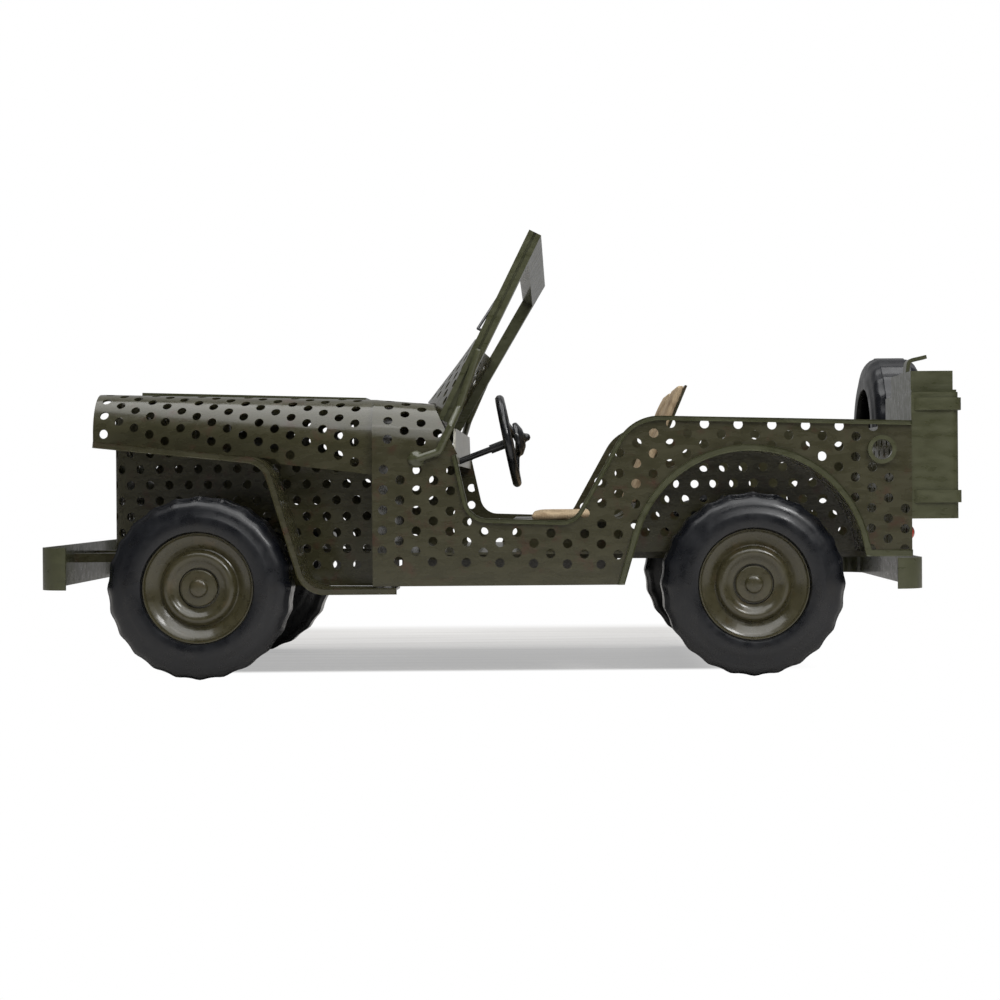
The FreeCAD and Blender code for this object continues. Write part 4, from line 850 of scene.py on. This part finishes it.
def copies_on_wheels(first, kind):
    """One copy of a turned form on every wheel, in place of the CAD node."""
    for name, turn in WHEELS:
        low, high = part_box(f"tyre_{name}")
        spin = Matrix.Rotation(math.radians(turn), 4, "Z")
        out = spin @ Vector((0, 1, 0))
        face = (low + high) / 2 + out * abs((high - low).dot(out)) / 2
        item = new_object(f"{kind}_form_{name}", first.data.copy())
        item.data.transform(Matrix.Translation(face) @ spin)
        dress(item, f"{kind}_paint", f"{kind}_{name}", body="car" if name == "spare" else f"wheel_{name}")
    bpy.data.objects.remove(first)


class MODELCAR_OT_tyres(Step, bpy.types.Operator):
    """Shape the metal tyres with their pressed lobes"""

    bl_idname = "modelcar.tyres"
    bl_label = "Tyres"
    points_per_lobe: count("Points per lobe", "Points round one lobe", 6, 4, 12)

    def execute(self, context):
        sizes = context.scene.model_car_tyre
        low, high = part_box("tyre_front_left")
        width = (high.y - low.y) / MM
        other_half = [(radius, width - depth) for radius, depth in reversed(TYRE_HALF)]
        line = list(TYRE_HALF) + other_half + [TYRE_HALF[0]]
        tyre = turned("tyre_form", line, sizes.lobe_count * self.points_per_lobe)
        with editing(tyre, "SELECT"):
            bpy.ops.mesh.remove_doubles(threshold=10 * WELD)
        for point in tyre.data.vertices:
            radius = math.hypot(point.co.x, point.co.z)
            share = min(max((radius - sizes.shoulder) / (sizes.tread - sizes.shoulder), 0), 1)
            lobe_turn = math.atan2(point.co.x, point.co.z) * sizes.lobe_count
            dip = sizes.lobe_depth * share * (1 - abs(math.cos(lobe_turn / 2)) ** 3)
            point.co.x *= 1 - dip / radius
            point.co.z *= 1 - dip / radius
        facing_out(tyre)
        copies_on_wheels(tyre, "tyre")
        return {"FINISHED"}


class MODELCAR_OT_discs(Step, bpy.types.Operator):
    """Turn the wheel discs with their lip, dish, bulge and hub cap"""

    bl_idname = "modelcar.discs"
    bl_label = "Wheel Discs"
    sides: count("Sides", "Flat faces round the disc", 96, 24, 160)
    thickness: length("Thickness", "Thickness of the CAD disc, which its back keeps", 1.2)

    def execute(self, context):
        disc = turned("disc_form", DISC_LINE, self.sides)
        with editing(disc, "DESELECT"):
            bpy.ops.mesh.select_mode(type="VERT")
        before_last, last = (radius * MM for radius, _ in DISC_LINE[-2:])
        for point in disc.data.vertices:
            point.select = math.hypot(point.co.x, point.co.z) < (last + before_last) / 2
        bpy.ops.object.mode_set(mode="EDIT")
        bpy.ops.mesh.edge_face_add()
        bpy.ops.mesh.poke()
        bpy.ops.object.mode_set(mode="OBJECT")
        add_modifier(disc, "Back", "SOLIDIFY", thickness=self.thickness, offset=-1)
        facing_out(disc)
        apply_modifiers(disc)
        copies_on_wheels(disc, "disc")
        return {"FINISHED"}


class MODELCAR_OT_windscreen(Step, bpy.types.Operator):
    """Punch the leaning apron and sink the seams of the windscreen's posts"""

    bl_idname = "modelcar.windscreen"
    bl_label = "Windscreen"
    first_z: length("Hole up", "Height of one hole in the middle", 104.0)
    seam_width: length("Seam width", "Width of the seam between the strips of a post", 0.9)
    post_width: length("Post width", "Reach of a post across the model", 1.5)
    seam_depth: length("Seam depth", "Depth of the seam between the strips", 0.9)
    lean_share: number("Lean share", "Row pitch seen level, as a share of the sheet's", 0.88)

    def execute(self, context):
        low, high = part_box("windscreen_apron")
        apron = copy_of_node("windscreen_apron", "punched_apron")
        back = Vector((-1, 0, 0))
        places = []
        for y, up in grid((low.y, -high.z), (high.y, high.z), (0, 0)):
            start = Vector((high.x + SHEET, y, self.first_z + up * self.lean_share))
            hit, place, normal, _ = apron.ray_cast(start, back)
            if hit:
                places.append((place, normal if normal.x > 0 else -normal))
        punch(apron, places)
        dress(apron, "body_paint", "windscreen_apron")
        posts = copy_of_node("windscreen_frame", "seamed_frame")
        for _, sign in SIDES:
            self.seam_post(posts, Vector((0, sign, 0)))
        dress(posts, "body_paint", "windscreen_frame", finish=FINISHES["trim_paint"])
        return {"FINISHED"}

    def seam_post(self, posts, side):
        """Sink a seam along the outer face of one post, which is built up of strips."""
        outward_share = 0.9
        reach = max(point.co.dot(side) for point in posts.data.vertices) - SHEET
        corners = set()
        for face in posts.data.polygons:
            if face.normal.dot(side) > outward_share and face.center.dot(side) > reach:
                corners.update(face.vertices)
        corners = sorted((posts.data.vertices[index].co.copy() for index in corners), key=lambda co: co.z)
        low, high = (corners[0] + corners[1]) / 2, (corners[-1] + corners[-2]) / 2
        across = (high - low).normalized().cross(side).normalized()
        half = self.seam_width / 2
        cut_across(posts, [low + across * half, low - across * half], [across, across])

        def on_seam(face):
            if abs((face.center - low).dot(across)) > half - WELD:
                return False
            return face.normal.dot(side) > outward_share and face.center.dot(side) > reach - self.post_width

        with editing_faces(posts, on_seam):
            bpy.ops.mesh.extrude_region_move(TRANSFORM_OT_translate={"value": -side * self.seam_depth})


class MODELCAR_OT_seat_pads(Step, bpy.types.Operator):
    """Stuff the thin canvas pads of the two seats"""

    bl_idname = "modelcar.seat_pads"
    bl_label = "Seat Pads"
    face_size: length("Face size", "Side of one face of the canvas", 1.0)
    pressure: number("Pressure", "Pressure of the stuffing", 4.0)
    most_bulge: length("Most bulge", "How far the canvas may move", 0.7)
    front_set_back: length("Front set back", "Setback of the cushion's front", 6.5)
    cushion_top: length("Cushion top", "Height below which the cushion lies", 62.0)
    cushion_middle: length("Cushion middle", "Place from which the cushion is drawn back", -30.0)
    frames: count("Frames", "Length of the cloth simulation", 20, 5, 60)

    def execute(self, context):
        pad = copy_of_node("seat_pads_left", "canvas_pads_left")
        add_modifier(pad, "Even", "REMESH", mode="VOXEL", voxel_size=self.face_size)
        apply_modifiers(pad)
        # The solver works in metres, so the small pad is simulated twenty times as large
        larger = 20
        pad.data.transform(Matrix.Scale(larger, 4))
        before = [point.co.copy() for point in pad.data.vertices]
        stuffing = add_modifier(pad, "Stuffing", "CLOTH")
        stuffing.settings.use_pressure = True
        stuffing.settings.uniform_pressure_force = self.pressure
        stuffing.settings.effector_weights.gravity = 0
        stuffing.point_cache.frame_end = self.frames
        for frame_number in range(1, self.frames + 1):
            context.scene.frame_set(frame_number)
        apply_modifiers(pad)
        context.scene.frame_set(1)
        most = self.most_bulge * larger
        for point, start in zip(pad.data.vertices, before):
            move = point.co - start
            if move.length > most:
                point.co = start + move.normalized() * most
        pad.data.transform(Matrix.Scale(1 / larger, 4))
        # The cushion ends short of the plate below it
        middle = self.cushion_middle
        front_x = max(point.co.x for point in pad.data.vertices)
        for point in pad.data.vertices:
            if point.co.z < self.cushion_top and point.co.x > middle:
                point.co.x -= self.front_set_back * (point.co.x - middle) / (front_x - middle)
        right = new_object("canvas_pads_right", pad.data.copy())
        right.data.transform(Matrix.Scale(-1, 4, Vector((0, 1, 0))))
        facing_out(right)
        for item, side in ((pad, "left"), (right, "right")):
            dress(item, "canvas", f"seat_pads_{side}", angle=CLOTH_ANGLE)
        return {"FINISHED"}


class MODELCAR_OT_paint_nodes(Step, bpy.types.Operator):
    """Paint the metal parts that keep their own shape"""

    bl_idname = "modelcar.paint_nodes"
    bl_label = "Painted Parts"

    def execute(self, context):
        for row in frame["record"]["subparts"]:
            node = frame["nodes"][row["node"]]
            node.data.materials.clear()
            node.data.materials.append(FINISHES[row["material_slot"]])
        return {"FINISHED"}


# Floor: where its shadow shows, as an axis, the place where it starts and the place from which it is full
BOARD_EDGES = (("Y", 42, 30), ("Y", -215, -165), ("X", -112, -62), ("X", 128, 96))


class MODELCAR_OT_studio(Step, bpy.types.Operator):
    """Set up the floor, the soft lamps, the white surround and the camera"""

    bl_idname = "modelcar.studio"
    bl_label = "Studio"
    floor_size: length("Floor size", "Side of the square floor", 12000.0)
    aim_z: length("Lamps' aim", "Height of the point that the lamps face", 60.0)

    def execute(self, context):
        studio = context.scene.model_car_studio
        bpy.ops.mesh.primitive_plane_add(size=self.floor_size)
        floor = context.active_object
        floor.name = "studio_floor"
        floor.data.materials.append(self.floor_paint(studio))
        # Square lamps that face the model: name, place and size in metres, and power
        aim = Vector((0, 0, self.aim_z))
        for name, place, size, power in (
            ("Overhead", (0.0, 0.15, 0.9), 1.1, studio.key_power),
            ("Front", (-0.2, 1.1, 0.95), 0.7, studio.fill_power),
            ("Side", (-0.45, 0.75, 0.6), 0.22, studio.spot_power),
            ("Backdrop", (0.0, -1.0, 0.4), 1.6, studio.back_power),
        ):
            lamp = bpy.data.lights.new(name, "AREA")
            lamp.size = size
            lamp.energy = power
            item = new_object(name, lamp)
            item.location = place
            item.rotation_euler = (aim - Vector(place)).to_track_quat("-Z", "Y").to_euler()
        self.surround(context.scene, studio.world_strength)
        camera = new_object("Camera", bpy.data.cameras.new("Camera"))
        camera.location = studio.camera_place
        upright = Vector((0, -1, 0)).to_track_quat("-Z", "Y").to_matrix().to_4x4()
        camera.rotation_euler = (upright @ Matrix.Rotation(-studio.camera_roll, 4, "Z")).to_euler()
        camera.data.sensor_width = 36.0
        camera.data.clip_start = 0.01
        for name in ("lens", "shift_x", "shift_y"):
            setattr(camera.data, name, getattr(studio, name))
        context.scene.camera = camera
        context.scene.view_settings.view_transform = "Standard"
        return {"FINISHED"}

    def floor_paint(self, studio):
        """White studio board: white to the camera, with the model's soft shadow kept."""
        finish, tree, shader, place = start_finish("WhiteStudioBoard")
        shader.inputs["Roughness"].default_value = 0.7
        across = add_node(tree, "SeparateXYZ", links={"Vector": place})
        masks = []
        for axis, start, end in BOARD_EDGES:
            mask = remap(across.outputs[axis], (start * MM, end * MM), (0.0, 1.0))
            mask.interpolation_type = "SMOOTHSTEP"
            masks.append(mask)
        while len(masks) > 1:
            pair = {0: masks.pop(), 1: masks.pop()}
            masks.append(add_node(tree, "Math", operation="MULTIPLY", links=pair))
        # The board itself is pale, so even its shadow keeps some of the white
        white = remap(masks[0], (0.0, 1.0), (1.0, studio.shadow_white))
        # Pale streaks along the board, as many to a metre as the scales say
        along = add_node(tree, "Mapping", links={"Vector": place}, values={"Scale": [9.0, 130.0, 1.0]})
        streaks = add_node(tree, "TexNoise", links={"Vector": along}, values={"Scale": 1.0, "Detail": 6.0})
        board = mix_colours(streaks.outputs["Fac"], linear("#A9A49E"), linear("#F4F2EF"))
        wire(shader, {"Base Color": board})
        seen = add_node(tree, "LightPath").outputs["Is Camera Ray"]
        share = add_node(tree, "Math", operation="MULTIPLY", links={0: seen, 1: white})
        glow = add_node(tree, "Emission", values={"Strength": 1.0})
        blend = add_node(tree, "MixShader", links={0: share, 1: shader, 2: glow})
        wire(tree.nodes["Material Output"], {"Surface": blend})
        return finish

    def surround(self, scene, strength):
        """A plain white surround that lights softly and shows white."""
        world = bpy.data.worlds.new("StudioSurround")
        scene.world = world
        world.use_nodes = True
        tree = world.node_tree
        tree.nodes.clear()
        seen = add_node(tree, "LightPath").outputs
        rays = {0: seen["Is Camera Ray"], 1: seen["Is Transmission Ray"]}
        either = add_node(tree, "Math", operation="MAXIMUM", links=rays)
        lit = remap(either, (0.0, 1.0), (strength, 1.0))
        glow = add_node(tree, "Background", links={"Strength": lit}, values={"Color": (1, 1, 1, 1)})
        add_node(tree, "OutputWorld", links={"Surface": glow})


class MODELCAR_PT_sidebar(bpy.types.Panel):
    """Lists the steps that dress the model car"""

    bl_idname = "MODELCAR_PT_sidebar"
    bl_label = "Model Car"
    bl_space_type = "VIEW_3D"
    bl_region_type = "UI"
    bl_category = "Model Car"

    def draw(self, context):
        for step in STEPS:
            self.layout.operator(step.bl_idname)
        for name, group in SETTINGS.items():
            box = self.layout.box()
            for size_name in group.__annotations__:
                box.prop(getattr(context.scene, name), size_name)


STEPS = (
    MODELCAR_OT_paint_nodes,
    MODELCAR_OT_side_panels,
    MODELCAR_OT_hood,
    MODELCAR_OT_engine_bay,
    MODELCAR_OT_fenders,
    MODELCAR_OT_rear_sheets,
    MODELCAR_OT_edge_strips,
    MODELCAR_OT_smooth_rods,
    MODELCAR_OT_windscreen,
    MODELCAR_OT_tyres,
    MODELCAR_OT_discs,
    MODELCAR_OT_seat_pads,
    MODELCAR_OT_studio,
)


CLASSES = (*SETTINGS.values(), *STEPS, MODELCAR_PT_sidebar)


def register():
    for item in CLASSES:
        bpy.utils.register_class(item)
    for name, group in SETTINGS.items():
        setattr(bpy.types.Scene, name, PointerProperty(type=group))


def unregister():
    for name in SETTINGS:
        delattr(bpy.types.Scene, name)
    for item in reversed(CLASSES):
        bpy.utils.unregister_class(item)


def main():
    register()
    make_finishes()
    for step in STEPS:
        family, name = step.bl_idname.split(".")
        getattr(getattr(bpy.ops, family), name)()


if __name__ == "__main__":
    main()
